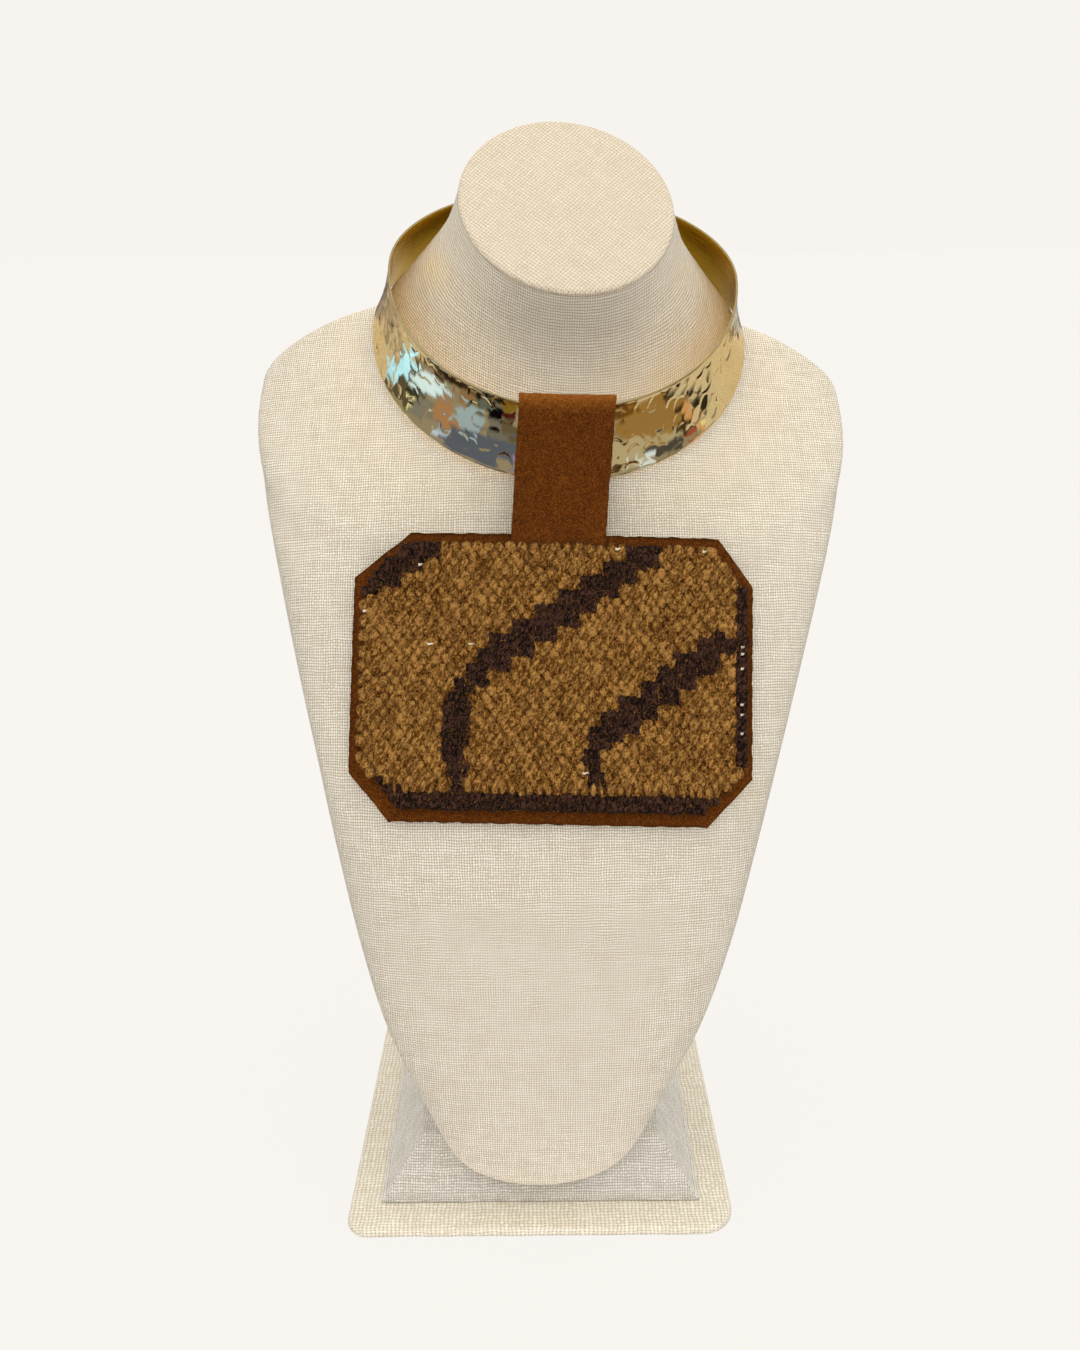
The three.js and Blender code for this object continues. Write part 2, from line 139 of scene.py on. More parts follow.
def add_piece(mesh, material, slot, *replaced):
    piece = add_object(mesh.name, mesh)
    mesh.materials.append(material)
    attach(piece, "root")
    if replaced:
        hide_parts(*replaced)
    return piece


def read(items, field, width=1, kind=float):
    """A field of every item of a mesh: one number each, or a row of width numbers."""
    values = np.empty(len(items) * width, kind)
    items.foreach_get(field, values)
    return values.reshape(-1, width) if width > 1 else values


def corner_vertices(mesh):
    return read(mesh.loops, "vertex_index", kind=np.int32)


def corner_normals(mesh):
    """Each face's corner count, and its normal for each of its corners."""
    counts = read(mesh.polygons, "loop_total", kind=np.int32)
    return counts, np.repeat(read(mesh.polygons, "normal", 3), counts, 0)


def set_cloth_map(mesh, u, v, per_point=True):
    """Places along the two threads, in millimetres, for each point or each face corner."""
    pairs = np.stack([u, v], -1).astype(np.float32)
    if per_point:
        pairs = pairs[corner_vertices(mesh)]
    mesh.uv_layers.new(name="Cloth").uv.foreach_set("vector", pairs.ravel())


def set_number(mesh, name, values):
    made = mesh.attributes.new(name, "FLOAT", "POINT")
    made.data.foreach_set("value", np.broadcast_to(values, len(mesh.vertices)).astype(np.float32))


# ---------- shader helpers ----------

def srgb(red, green, blue):
    """A display colour, 0 to 255, as linear light."""
    return tuple(
        c / 12.92 if c <= 0.04045 else ((c + 0.055) / 1.055) ** 2.4
        for c in (red / 255, green / 255, blue / 255))


class Nodes:
    """A material's or world's nodes: a value is a number, a colour or another node's output."""

    def __init__(self, owner):
        owner.use_nodes = True
        self.owner = owner
        self.tree = owner.node_tree
        self.tree.nodes.clear()

    def put(self, kind, *values, out=0, **settings):
        """A setting with a capital is a socket's name, and any other is the node's own.

        out is the output to return, by name or number, or None for the node itself.
        """
        node = self.tree.nodes.new("ShaderNode" + kind)
        sockets = {}
        for key, value in settings.items():
            if key[0].isupper():
                sockets[key.replace("_", " ")] = value
            else:
                setattr(node, key, value)
        for socket, value in zip(node.inputs, values):
            self.feed(socket, value)
        for key, value in sockets.items():
            self.feed(node.inputs[key], value)
        return node if out is None else node.outputs[out]

    def feed(self, socket, value):
        if isinstance(value, bpy.types.NodeSocket):
            self.tree.links.new(value, socket)
        else:
            socket.default_value = (*value, 1) if socket.type == "RGBA" else value

    def math(self, operation, *values):
        return self.put("Math", *values, operation=operation)

    def add(self, a, b):
        return self.math("ADD", a, b)

    def subtract(self, a, b):
        return self.math("SUBTRACT", a, b)

    def multiply(self, a, b):
        return self.math("MULTIPLY", a, b)

    def multiply_add(self, value, by, plus):
        return self.math("MULTIPLY_ADD", value, by, plus)

    def noise(self, vector, scale, detail=2.0, rough=0.5, distortion=0.0, out=0):
        return self.put(
            "TexNoise", out=out, Vector=vector, Scale=scale, Detail=detail, Roughness=rough,
            Distortion=distortion)

    def ramp(self, value, *stops):
        node = self.put("ValToRGB", value, out=None)
        elements = node.color_ramp.elements
        while len(elements) < len(stops):
            elements.new(0.5)
        for element, (place, colour) in zip(elements, stops):
            element.position = place
            element.color = (*colour, 1) if isinstance(colour, tuple) else (colour, colour, colour, 1)
        return node.outputs[0]

    def mix(self, factor, a, b, blend="MIX"):
        node = self.put("Mix", factor, out=None, data_type="RGBA", blend_type=blend)
        # Its colour sockets share their names with those for numbers and vectors.
        self.feed(node.inputs[6], a)
        self.feed(node.inputs[7], b)
        return node.outputs[2]

    def combine(self, x, y, z=0.0):
        return self.put("CombineXYZ", x, y, z)

    def split(self, vector):
        return self.put("SeparateXYZ", vector, out=None).outputs

    def number(self, name):
        """A number that a mesh carries for each of its points."""
        return self.put("Attribute", attribute_name=name, out="Fac")

    def blend_range(self, value, low, high, at_low=0.0, at_high=1.0):
        """value eased from at_low to at_high between low and high."""
        return self.put("MapRange", value, low, high, at_low, at_high, interpolation_type="SMOOTHSTEP")

    def bump(self, height, strength, distance):
        return self.put("Bump", Height=height, Strength=strength, Distance=distance)

    def surface(self, **sockets):
        """The material with this as its one shader."""
        self.put("OutputMaterial", self.put("BsdfPrincipled", **sockets), out=None)
        return self.owner


def new_nodes(name):
    return Nodes(bpy.data.materials.new(name))


def cloth_axes(n, turn=0.0):
    """The cloth's own coordinates, in millimetres along its two threads."""
    place = n.put("UVMap", uv_map="Cloth")
    if turn:
        place = n.put("VectorRotate", Vector=place, Angle=turn, rotation_type="Z_AXIS")
    u, v, _ = n.split(place)
    return place, u, v


THREAD_WANDER = 1.6  # threads
DIP = 0.5  # of a thread's height, where it passes under


def plain_weave(n, place, u, v, pitch_u, pitch_v):
    """Plain weave of threads pitch_u by pitch_v apart: returns height, gap and thread tone."""
    bend = n.split(n.noise(place, 0.11, 3.0, 0.6, out="Color"))
    cells = []
    rounds = []
    for along, pitch, wander in ((u, pitch_u, bend[0]), (v, pitch_v, bend[1])):
        shift = n.multiply(n.subtract(wander, 0.5), THREAD_WANDER)
        thread = n.add(n.math("DIVIDE", along, pitch), shift)
        off_middle = n.subtract(n.math("FRACT", thread), 0.5)
        cells.append(n.math("FLOOR", thread))
        rounds.append(n.multiply(n.multiply(off_middle, off_middle), 4.0))
    over = n.math("FLOORED_MODULO", n.add(*cells), 2.0)
    under = n.subtract(1.0, over)
    # The thread on top is round across itself and dips gently along itself.
    steep = n.add(n.multiply(rounds[0], under), n.multiply(rounds[1], over))
    gentle = n.add(n.multiply(rounds[1], under), n.multiply(rounds[0], over))
    height = n.multiply(n.subtract(1.0, steep), n.multiply_add(gentle, -DIP, 1.0))
    gap = n.blend_range(n.multiply(*rounds), 0.12, 0.42)
    warp_tone = n.noise(n.combine(n.multiply(cells[0], 7.3), n.multiply(v, 0.12)), 1.0, 1.0)
    weft_tone = n.noise(n.combine(n.multiply(u, 0.12), n.multiply(cells[1], 5.9), 3.7), 1.0, 1.0)
    return height, gap, n.mix(over, warp_tone, weft_tone)


PAINTED_GLOW_TINT = srgb(255, 222, 150)
PAINTED_SHADE_TINT = srgb(176, 168, 156)
STAINED = srgb(206, 180, 134)


def linen_material(name, pitch_u, pitch_v, pale, deep, weave_shade, turn=0.0, stain=0.0, with_painted_light=False):
    n = new_nodes(name)
    place, u, v = cloth_axes(n, turn)
    height, gap, tone = plain_weave(n, place, u, v, pitch_u, pitch_v)
    colour = n.ramp(tone, (0.3, deep), (0.7, pale))
    fleck = n.noise(place, 1.3, 2.0, 0.6)
    colour = n.mix(n.ramp(fleck, (0.3, 0.3), (0.55, 0.0)), colour, deep)
    if with_painted_light:
        # Painted warm glow: the band's reflected light, painted into the linen near it.
        colour = n.mix(n.number("painted_brass_glow"), colour, PAINTED_GLOW_TINT)
        # Painted shade on the neck just under the rim of its top.
        colour = n.mix(n.multiply(n.number("painted_shade"), 0.5), colour, PAINTED_SHADE_TINT)
    # Painted shade in the weave: darker where a thread dips under the other, and darker still in the gaps
    # between threads.
    colour = n.mix(n.multiply_add(height, -0.3, 0.3), colour, weave_shade)
    colour = n.mix(n.multiply(gap, 0.8), colour, weave_shade)
    if stain:
        spread = n.ramp(n.noise(place, 0.018, 3.0, 0.6), (0.6, 0.0), (0.85, stain))
        colour = n.mix(spread, colour, STAINED)
    return n.surface(
        Base_Color=colour, Normal=n.bump(height, 0.5, 0.0003), Roughness=0.92,
        Specular_IOR_Level=0.15, Sheen_Weight=0.1, Sheen_Roughness=0.5)


def suede_material():
    n = new_nodes("suede")
    place = n.put("TexCoord", out="Object")
    nap = n.noise(place, 1700.0, 2.0, 0.7, 0.3)
    brushed = n.noise(place, 420.0, 3.0, 0.6, 0.8)
    worn = n.noise(place, 45.0, 3.0, 0.55)
    grain = n.add(n.multiply(nap, 0.78), n.multiply(brushed, 0.22))
    colour = n.ramp(grain, (0.32, srgb(50, 21, 3)), (0.5, srgb(90, 46, 8)), (0.7, srgb(128, 72, 20)))
    colour = n.mix(n.ramp(worn, (0.3, 0.16), (0.7, 0.0)), colour, srgb(70, 33, 8))
    # Painted highlight: paler suede where the strap folds over the rim, standing in for light caught on the
    # fold.
    fold_highlight_shades = n.ramp(grain, (0.32, srgb(84, 42, 10)), (0.5, srgb(126, 72, 20)), (0.7, srgb(160, 98, 36)))
    return n.surface(
        Base_Color=n.mix(n.number("painted_fold_highlight"), colour, fold_highlight_shades), Normal=n.bump(grain, 0.7, 0.0004),
        Roughness=0.95, Specular_IOR_Level=0.1, Sheen_Weight=0.12, Sheen_Roughness=0.4,
        Sheen_Tint=srgb(205, 130, 70))


def wool_material(name, deep, middle, pale):
    """Yarn: the cloth map runs round each bead and along it. A number that is 1 on a bead's top paints a
    highlight there and painted shade low down.
    """
    n = new_nodes(name)
    _, u, v = cloth_axes(n)
    body = n.put("TexCoord", out="Object")
    tone = n.number("tone")
    painted_crest_light = n.number("painted_crest_light")
    twist = n.add(n.multiply(u, 1.5), n.multiply(v, 0.5))
    fibre = n.noise(n.combine(twist, n.multiply(v, 0.35), tone), 1.3, 2.0, 0.6, 0.5)
    fluff = n.noise(body, 1250.0, 2.0, 0.7)
    patch = n.noise(body, 75.0, 2.0, 0.6)
    mixed = 0.5
    # Height on the bead mixes in a painted highlight on its top and painted shade down its sides.
    for part, usual, share in (
            (fibre, 0.5, 1.35), (fluff, 0.5, 1.1), (painted_crest_light, 0.62, 0.42), (tone, 0.5, 0.16),
            (patch, 0.5, 0.14)):
        mixed = n.multiply_add(n.subtract(part, usual), share, mixed)
    return n.surface(
        Base_Color=n.ramp(mixed, (0.2, deep), (0.5, middle), (0.85, pale)),
        Normal=n.bump(mixed, 0.8, 0.0005), Roughness=0.95, Specular_IOR_Level=0.06,
        Sheen_Weight=0.04, Sheen_Roughness=0.45)


BRASS_TINT = srgb(224, 209, 170)


def brass_material():
    n = new_nodes("brass")
    place, u, v = cloth_axes(n)
    inner = n.number("inner")
    streak = n.noise(n.combine(n.multiply(u, 0.05), n.multiply(v, 2.4)), 1.0, 4.0, 0.65)
    cloudy = n.noise(place, 0.09, 3.0, 0.6)
    outside = n.mix(cloudy, BRASS_TINT, srgb(216, 199, 156))
    # The inside's deeper gold is partly its own satin finish and partly a painted reflection of the warm
    # linen it faces.
    inside = n.mix(streak, srgb(180, 134, 22), srgb(222, 182, 46))
    polish = n.multiply(n.multiply_add(cloudy, 0.03, 0.02), n.subtract(1.0, inner))
    satin = n.multiply(n.multiply_add(streak, 0.14, 0.2), inner)
    scratch = n.noise(n.combine(n.multiply(u, 0.6), n.multiply(v, 3.0)), 1.0, 3.0, 0.7)
    return n.surface(
        Base_Color=n.mix(inner, outside, inside), Metallic=1.0, Specular_Tint=srgb(248, 236, 212),
        Roughness=n.add(polish, satin), Normal=n.bump(scratch, 0.03, 0.0002))


# ---------- bust ----------

# The same sections as the solid, from the tip to the neck top: the section's front and
# back points on the centre line, half width, place of the widest line, powers of the
# outline in front and behind, sideways shift and roll in degrees.
BUST_ROWS = np.array([
    (14.5, 12.3, 16.5, 12.4, 5, 0.5, 2, 2, 0, 0),
    (12.5, 14, 19.5, 14.8, 17, 0.5, 2, 2, 0, 0),
    (11, 19, 24.5, 21, 29.5, 0.5, 2, 2.2, 0.2, 0),
    (10, 29, 31.5, 33, 38.2, 0.5, 2.3, 2.5, 0.7, 0),
    (9, 48, 41, 55, 47.2, 0.5, 2.8, 3, 1, 0),
    (8, 78, 53, 90, 60.2, 0.46, 3, 3, 2, 0),
    (8, 110, 65, 128, 69.6, 0.46, 3.1, 3, 3, 0),
    (9.5, 146, 79, 171, 77.8, 0.48, 3.2, 3, 3.7, 0),
    (14.9, 174, 93, 205, 84.8, 0.5, 3.2, 3, 4.4, 0),
    (27.5, 201, 112, 243, 94.6, 0.58, 3.2, 3, 5.2, 0),
    (41.2, 230, 133, 284, 105.4, 0.68, 3.1, 2.8, 6.2, 0.5),
    (48.8, 244, 143, 304, 111.4, 0.76, 2.8, 2.6, 6.6, 1),
    (55.5, 256, 150, 320, 113.6, 0.8, 2.6, 2.4, 7, 1.8),
    (61.5, 265, 155, 333, 96, 0.82, 2.4, 2.2, 8.4, 2.6),
    (67, 273, 158.5, 342, 73.5, 0.8, 2.2, 2, 10, 3.2),
    (71.5, 282.5, 158, 350, 67, 0.74, 2, 2, 11.7, 3.5),
    (83, 298, 155, 360, 63.2, 0.62, 2, 2, 11.9, 3.8),
    (91, 313, 151.8, 371.5, 55.8, 0.55, 2, 2, 12.1, 4.2),
    (95, 327.5, 149.6, 385, 46.2, 0.52, 2, 2, 12.5, 4.6),
    (95.3, 341.5, 149, 402.3, 40.5, 0.5, 2, 2, 13, 5),
])
BUST_RINGS = 9  # from each section to the next
BUST_SIDES = 192
SIDE_RINGS = (len(BUST_ROWS) - 1) * BUST_RINGS + 1
NECK_FROM = 15  # the section where the neck starts
RIM_RADIUS = 1.8
TOP_HALF = 40.0  # half the neck top's width, which insets are a share of
RIM_STEPS = 6
SEAM_INSET, SEAM_DROP = 0.5, 0.2
RIM_OUTSET = 0.3
DISC_STEPS = 16
DISC_RISE, DISC_DOME = 0.7, 0.5  # the neck top swells a little to its middle
DISC_FROM = 2  # rings up the rim, where the neck top's own cloth starts
DISC_CLOTH = 500.0  # sets the neck top's weave apart from the neck's
PAINTED_GLOW_REACH = (11, 31)  # from the band, where the painted glow of its reflected light fades on the linen
PAINTED_SHADE_SIDE, PAINTED_SHADE_BELOW = (14, 46), (0.3, 3.6)  # aside, and sections below the rim, for the painted shade under the neck top

# The cloth swells a little at the sides, where the band comes nearest: the row of the
# widest swelling, how many rows it fades over, and its reach on the left and the right.
FLANK = Sizes(row=15.7, fade=1.2, left=4.0, right=2.6)


def smooth_rows(rows, steps):
    """The rows with steps - 1 more between each two, on smooth curves through them all."""
    dense = []
    for i in range(len(rows) - 1):
        before, start = rows[max(i - 1, 0)], rows[i]
        end, after = rows[i + 1], rows[min(i + 2, len(rows) - 1)]
        leave, arrive = (end - before) / 2, (after - start) / 2
        for t in np.arange(steps) / steps:
            dense.append(
                (2 * t**3 - 3 * t**2 + 1) * start + (t**3 - 2 * t**2 + t) * leave
                + (-2 * t**3 + 3 * t**2) * end + (t**3 - t**2) * arrive)
    return np.array([*dense, rows[-1]])


def bust_ring(row, place):
    """One section's outline, starting at the back and passing the front half way round."""
    front_y, front_z, back_y, back_z, half, wide, front_power, back_power, shift, roll = row
    length = math.hypot(back_y - front_y, back_z - front_z)
    along = np.array([back_y - front_y, back_z - front_z]) / length
    angle = np.pi / 2 + np.arange(BUST_SIDES) / BUST_SIDES * 2 * np.pi
    side, ways = np.cos(angle), np.sin(angle)
    power = np.where(ways < 0, front_power, back_power)
    reach = np.where(ways < 0, wide * length, (1 - wide) * length)
    x = half * np.sign(side) * np.abs(side) ** (2 / power)
    s = wide * length + reach * np.sign(ways) * np.abs(ways) ** (2 / power)
    swell = math.exp(-((place - FLANK.row) / FLANK.fade) ** 2)
    x = x + np.where(side < 0, -FLANK.left, FLANK.right) * swell * np.abs(side) ** 6
    turn = math.radians(roll)
    return np.stack([
        x * math.cos(turn) + shift,
        front_y + along[0] * s,
        front_z + along[1] * s - x * math.sin(turn)], -1)


def neck_rings():
    """The form's outlines from the tip to the neck top, and the middle and tilt of its rim."""
    rows = smooth_rows(BUST_ROWS, BUST_RINGS)
    rings = [bust_ring(row, i / BUST_RINGS) for i, row in enumerate(rows)]
    rim = rings[-1]
    middle = rim.mean(0)
    front_y, front_z, back_y, back_z = rows[-1][:4]
    tilt = math.atan2(back_z - front_z, back_y - front_y)
    up = np.array([0, -math.sin(tilt), math.cos(tilt)])
    # A shallow seam runs under the rim of the neck top, which then rounds over to its disc.
    rings[-1] = middle + (rim - middle) * (1 - SEAM_INSET / TOP_HALF) - up * SEAM_DROP
    for a in np.linspace(0, np.pi / 2, RIM_STEPS):
        inset = 1 - RIM_RADIUS * (1 - math.cos(a)) / TOP_HALF + RIM_OUTSET / TOP_HALF
        rings.append(middle + (rim - middle) * inset + up * (RIM_RADIUS * math.sin(a)))
    base = rings[-1]
    centre = base.mean(0) + up * DISC_RISE
    for t in np.linspace(0, 1, DISC_STEPS)[1:-1]:
        rings.append(centre + (base - centre) * (1 - t) + up * DISC_DOME * (1 - (1 - t) ** 2))
    return np.array(rings), middle, tilt


def set_neck_cloth(mesh, rings, points, middle, tilt):
    """The form's cloth map. Returns which faces lie on the neck top."""
    # On the neck: across from the front centre line, and up along that line.
    count = len(rings)
    around = np.diff(np.concatenate([rings, rings[:, :1]], 1), axis=1)
    run = np.concatenate([np.zeros((count, 1)), np.cumsum(np.linalg.norm(around, axis=2), 1)], 1)
    across = run - run[:, BUST_SIDES // 2][:, None]
    rise = running_length(rings[:, BUST_SIDES // 2])
    row, column = np.divmod(np.arange((count - 1) * BUST_SIDES), BUST_SIDES)
    fans = np.zeros(2 * BUST_SIDES * 3)
    u = np.append(across[row[:, None] + [0, 0, 1, 1], column[:, None] + [0, 1, 1, 0]], fans)
    v = np.append(rise[row[:, None] + [0, 0, 1, 1]], fans)

    # Below the neck the threads run level and upright, as on cloth pulled over the chest.
    face_row = np.concatenate([row, np.zeros(BUST_SIDES, int), np.full(BUST_SIDES, count - 1)])
    sizes, normal = corner_normals(mesh)
    x, y, z = points[corner_vertices(mesh)].T
    body = np.repeat(face_row < NECK_FROM * BUST_RINGS, sizes)
    flank = body & (np.abs(normal[:, 0]) > 0.8)
    level = body & (normal[:, 2] > 0.9)
    on_disc = face_row >= SIDE_RINGS + DISC_FROM
    disc_corner = np.repeat(on_disc, sizes)
    up_disc, _ = turned(y - middle[1], z - middle[2], tilt)
    u = np.select([disc_corner, flank, body], [x + DISC_CLOTH, y, x], u)
    v = np.select([disc_corner, level, flank, body], [up_disc, y, z, 0.94 * z + 0.34 * y], v)
    set_cloth_map(mesh, u, v, per_point=False)
    return on_disc


def set_neck_painted_light(mesh, points, middle):
    """Painted light on the linen: a painted warm glow inside the band, and painted shade on the neck just
    under the rim of its top.
    """
    angle = np.linspace(1.02 * math.pi, 1.98 * math.pi, 70)[:, None]
    band = collar_point(angle, COLLAR.flare / 2, COLLAR.drop * np.array([[0.15, 0.5, 0.85]]))
    nearest = np.full(len(points), 1e3)
    for spot in band.reshape(-1, 3):
        nearest = np.minimum(nearest, np.linalg.norm(points - spot, axis=1))
    # The painted glow of the band's reflected light, on the linen inside the band and fading away from it.
    _, over_rim = turned(points[:, 1] - COLLAR.y, points[:, 2] - COLLAR.z, COLLAR.tilt)
    inside = smoothstep(over_rim, -9, -1)
    set_number(mesh, "painted_brass_glow", inside * (1 - smoothstep(nearest, *PAINTED_GLOW_REACH)))
    # Painted shade just under the neck top's rim, strongest in front and fading to the sides.
    ring_of = np.minimum(np.arange(len(points)) // BUST_SIDES, SIDE_RINGS)
    below_rim = (SIDE_RINGS - ring_of) / BUST_RINGS
    ahead = 1 - smoothstep(np.abs(points[:, 0] - middle[0]), *PAINTED_SHADE_SIDE)
    painted_shade = 1 - smoothstep(below_rim, *PAINTED_SHADE_BELOW)
    set_number(mesh, "painted_shade", painted_shade * (ring_of < SIDE_RINGS) * ahead)


def neck_form(material, disc_material):
    rings, middle, tilt = neck_rings()
    mesh, points = closed_tube("neck_form_linen", rings, rings[0].mean(0), rings[-1].mean(0))
    on_disc = set_neck_cloth(mesh, rings, points, middle, tilt)
    set_neck_painted_light(mesh, points, middle)
    add_piece(mesh, material, "linen", "neck_form")
    mesh.materials.append(disc_material)
    mesh.polygons.foreach_set("material_index", on_disc.astype(np.int32))


# ---------- stand ----------

PLATE = Sizes(
    front=75.0, back=73.5, depth=150.0, thick=4.0, edge=1.3, radii=(8.0, 12.5, 8.0, 8.0),
    wave=0.12, side_hem=70.0, end_hem=6.0)
BLOCK_LEVELS = [  # half width, front, back, height
    (63.2, 13.4, 136.6, 4.3),
    (61.2, 14.6, 135.4, 6.3),
    (47.1, 29.3, 120.7, 24.6),
]
BLOCK_EDGE = 0.8


def spoke(angle):
    return np.array([math.cos(angle), math.sin(angle)])


def plate_outline():
    front, back, depth, radii = PLATE.front, PLATE.back, PLATE.depth, PLATE.radii
    corners = np.array([(-front, 0), (front, 0), (back, depth), (-back, depth)])
    outline = []
    for i, corner in enumerate(corners):
        centre = corner + np.array([-np.sign(corner[0]), 1 if corner[1] == 0 else -1]) * radii[i]
        for a in np.linspace(0, math.pi / 2, 13):
            outline.append(centre + radii[i] * spoke(math.pi + i * math.pi / 2 + a))
        leave = outline[-1]
        following = corners[(i + 1) % 4]
        towards = following - corner
        stop = following - towards / np.linalg.norm(towards) * radii[(i + 1) % 4]
        outline += [leave + (stop - leave) * t for t in np.linspace(0, 1, 26)[1:-1]]
    return np.array(outline)


def base_plate(material):
    """A board wrapped in canvas: rounded edges and corners, a little uneven."""
    thick, edge, depth = PLATE.thick, PLATE.edge, PLATE.depth
    outline = plate_outline()
    middle = outline.mean(0)
    lower, upper = np.linspace(0.2, math.pi / 2, 5), np.linspace(0, math.pi / 2, 6)
    profile = [(3.0, 0.0), (edge, 0.0)]
    profile += [(edge - edge * math.sin(a), edge - edge * math.cos(a)) for a in lower]
    profile += [(0, 2.0)]
    profile += [(edge - edge * math.cos(a), thick - edge + edge * math.sin(a)) for a in upper]
    profile += [(3.0, thick + 0.02), (8.0, thick)]
    step = np.roll(outline, -1, 0) - np.roll(outline, 1, 0)
    inward = np.stack([-step[:, 1], step[:, 0]], -1)
    inward /= np.linalg.norm(inward, axis=1)[:, None]
    levels = [(outline + inward * inset, z) for inset, z in profile]
    levels += [(middle + (outline - middle) * share * 0.9, thick) for share in (0.75, 0.5, 0.25, 0.05)]
    rings = np.array([np.column_stack([ring, np.full(len(ring), z)]) for ring, z in levels])
    x, y = rings[3:-4, :, 0], rings[3:-4, :, 1]
    rings[3:-4, :, 2] += PLATE.wave * np.sin(x * 0.21) * np.sin(y * 0.17 + 1)
    mesh, points = closed_tube("base_plate_canvas", rings, [*middle, 0.0], [*middle, thick])
    # The canvas runs over the edge: heights below the top add to the nearer side.
    x, y, z = points.T
    below = thick - z
    u = x + np.sign(x) * below * (np.abs(x) > PLATE.side_hem)
    v = y + np.where(y < PLATE.end_hem, -below, 0) + np.where(y > depth - PLATE.end_hem, below, 0)
    set_cloth_map(mesh, u, v)
    add_piece(mesh, material, "canvas", "base_plate")


def box_map(mesh):
    """Cloth map by the way each face looks: threads run level and up its slope."""
    _, normal = corner_normals(mesh)
    x, y, z = (read(mesh.vertices, "co", 3)[corner_vertices(mesh)] / METRES).T
    level = np.abs(normal[:, 2]) > 0.9
    facing_x = np.abs(normal[:, 0]) > np.abs(normal[:, 1])
    slope = np.sqrt(np.clip(1 - normal[:, 2] ** 2, 0.05, 1))
    u = np.where(facing_x & ~level, y + 300, x)
    set_cloth_map(mesh, u, np.where(level, y, z / slope), per_point=False)


def linen_block(material):
    """The frustum under the tip, wrapped in cloth: softly rounded edges."""
    points = []
    for half, front, back, z in BLOCK_LEVELS:
        points += [(-half, front, z), (half, front, z), (half, back, z), (-half, back, z)]
    quads = [*grid_quads(len(BLOCK_LEVELS), 4), [3, 2, 1, 0], [8, 9, 10, 11]]
    mesh = make_mesh("pedestal_block_linen", placed(points), quads)
    piece = add_piece(mesh, material, "linen", "pedestal_block")
    rounding = piece.modifiers.new("edges", "BEVEL")
    rounding.width = BLOCK_EDGE * METRES
    rounding.segments = 4
    rounding.limit_method = "NONE"
    bpy.context.view_layer.update()
    rounded = piece.evaluated_get(bpy.context.evaluated_depsgraph_get())
    piece.data = bpy.data.meshes.new_from_object(rounded)
    piece.modifiers.clear()
    box_map(piece.data)
    piece.data.shade_smooth()


def linen_riser(material):
    """The wedge behind the form, in its linen: the solid's own shape in a mesh of its own."""
    solid = bpy.data.objects["pedestal_riser"]
    mesh = solid.data.copy()
    mesh.name = "pedestal_riser_linen"
    mesh.transform(solid.matrix_world)
    mesh.materials.clear()
    box_map(mesh)
    add_piece(mesh, material, "linen", "pedestal_riser")


# ---------- collar ----------

COLLAR = Sizes(
    side=11.8, y=111.9, z=349.7, tilt=math.radians(37.4), roll=math.radians(3.5),
    half=64.6, front=70.85, back=47.0, flare=7.6, drop=27.8, thick=1.2, opening=76.0, end=7.0)
# The band as seen: half its thickness, its outer face's depth and its hollow across.
BAND = Sizes(half_thick=0.42, skin=0.05, hollow=1.1)
BAND_ALONG, BAND_OUTSIDE, BAND_INSIDE = 760, 60, 14
# Hammer marks: pitch along and across, shift off it, half sizes, turn, depth and lean.
MARKS = Sizes(
    pitch=(3.5, 5.4), shift=(-0.25, 0.25), tall=(3.6, 4.8), broad=(2.5, 3.1), turn=0.2,
    depth=(0.03, 0.06), lean=0.019, seed=7)
MARK_REACH = 5.6  # nothing of a mark lies further along the band than this


def collar_point(angle, out, down):
    """Arrays of points of the collar: out from the upper rim's outline, down below its plane."""
    c = COLLAR
    depth = np.where(np.sin(angle) < 0, c.front, c.back)
    x = (c.half + out) * np.cos(angle)
    s = (depth + out) * np.sin(angle)
    y, below = turned(s, down, c.tilt)
    x, z = turned(x, -below, c.roll)
    return np.stack([x + c.side, y + c.y, z + c.z], -1)


def hammer_marks(length, width):
    """Overlapping marks: middle along and across, half sizes, turn, depth and the two leans."""
    m, chance = MARKS, random.Random(MARKS.seed)
    marks = []
    for column in range(-1, int(length / m.pitch[0]) + 2):
        for row in range(-1, int(width / m.pitch[1]) + 2):
            u = (column + chance.uniform(*m.shift)) * m.pitch[0]
            v = (row + 0.5 * (column % 2) + chance.uniform(*m.shift)) * m.pitch[1]
            marks.append((
                u, v, chance.uniform(*m.tall), chance.uniform(*m.broad), chance.gauss(0, m.turn),
                chance.uniform(*m.depth), chance.gauss(0, m.lean), chance.gauss(0, m.lean)))
    return marks


def hammered_face(places, heights, length, width):
    """How deep the outer face lies under its marks, at places along and heights across."""
    dent = np.zeros((len(places), len(heights)))
    for mu, mv, tall, broad, turn, depth, lean_u, lean_v in hammer_marks(length, width):
        near = np.flatnonzero(np.abs(places - mu) < MARK_REACH)
        du, dv = places[near, None] - mu, heights - mv
        a, b = turned(dv, du, turn)
        off_middle = (a / tall) ** 2 + (b / broad) ** 2
        bowl = depth * (1 - off_middle) + lean_u * du + lean_v * dv
        dent[near] = np.maximum(dent[near], np.where(off_middle < 1.4, bowl, 0))
    share = heights / width
    rim_fade = np.minimum(smoothstep(share, 0, 0.03), smoothstep(1 - share, 0, 0.02))
    return dent * (0.35 + 0.65 * rim_fade)


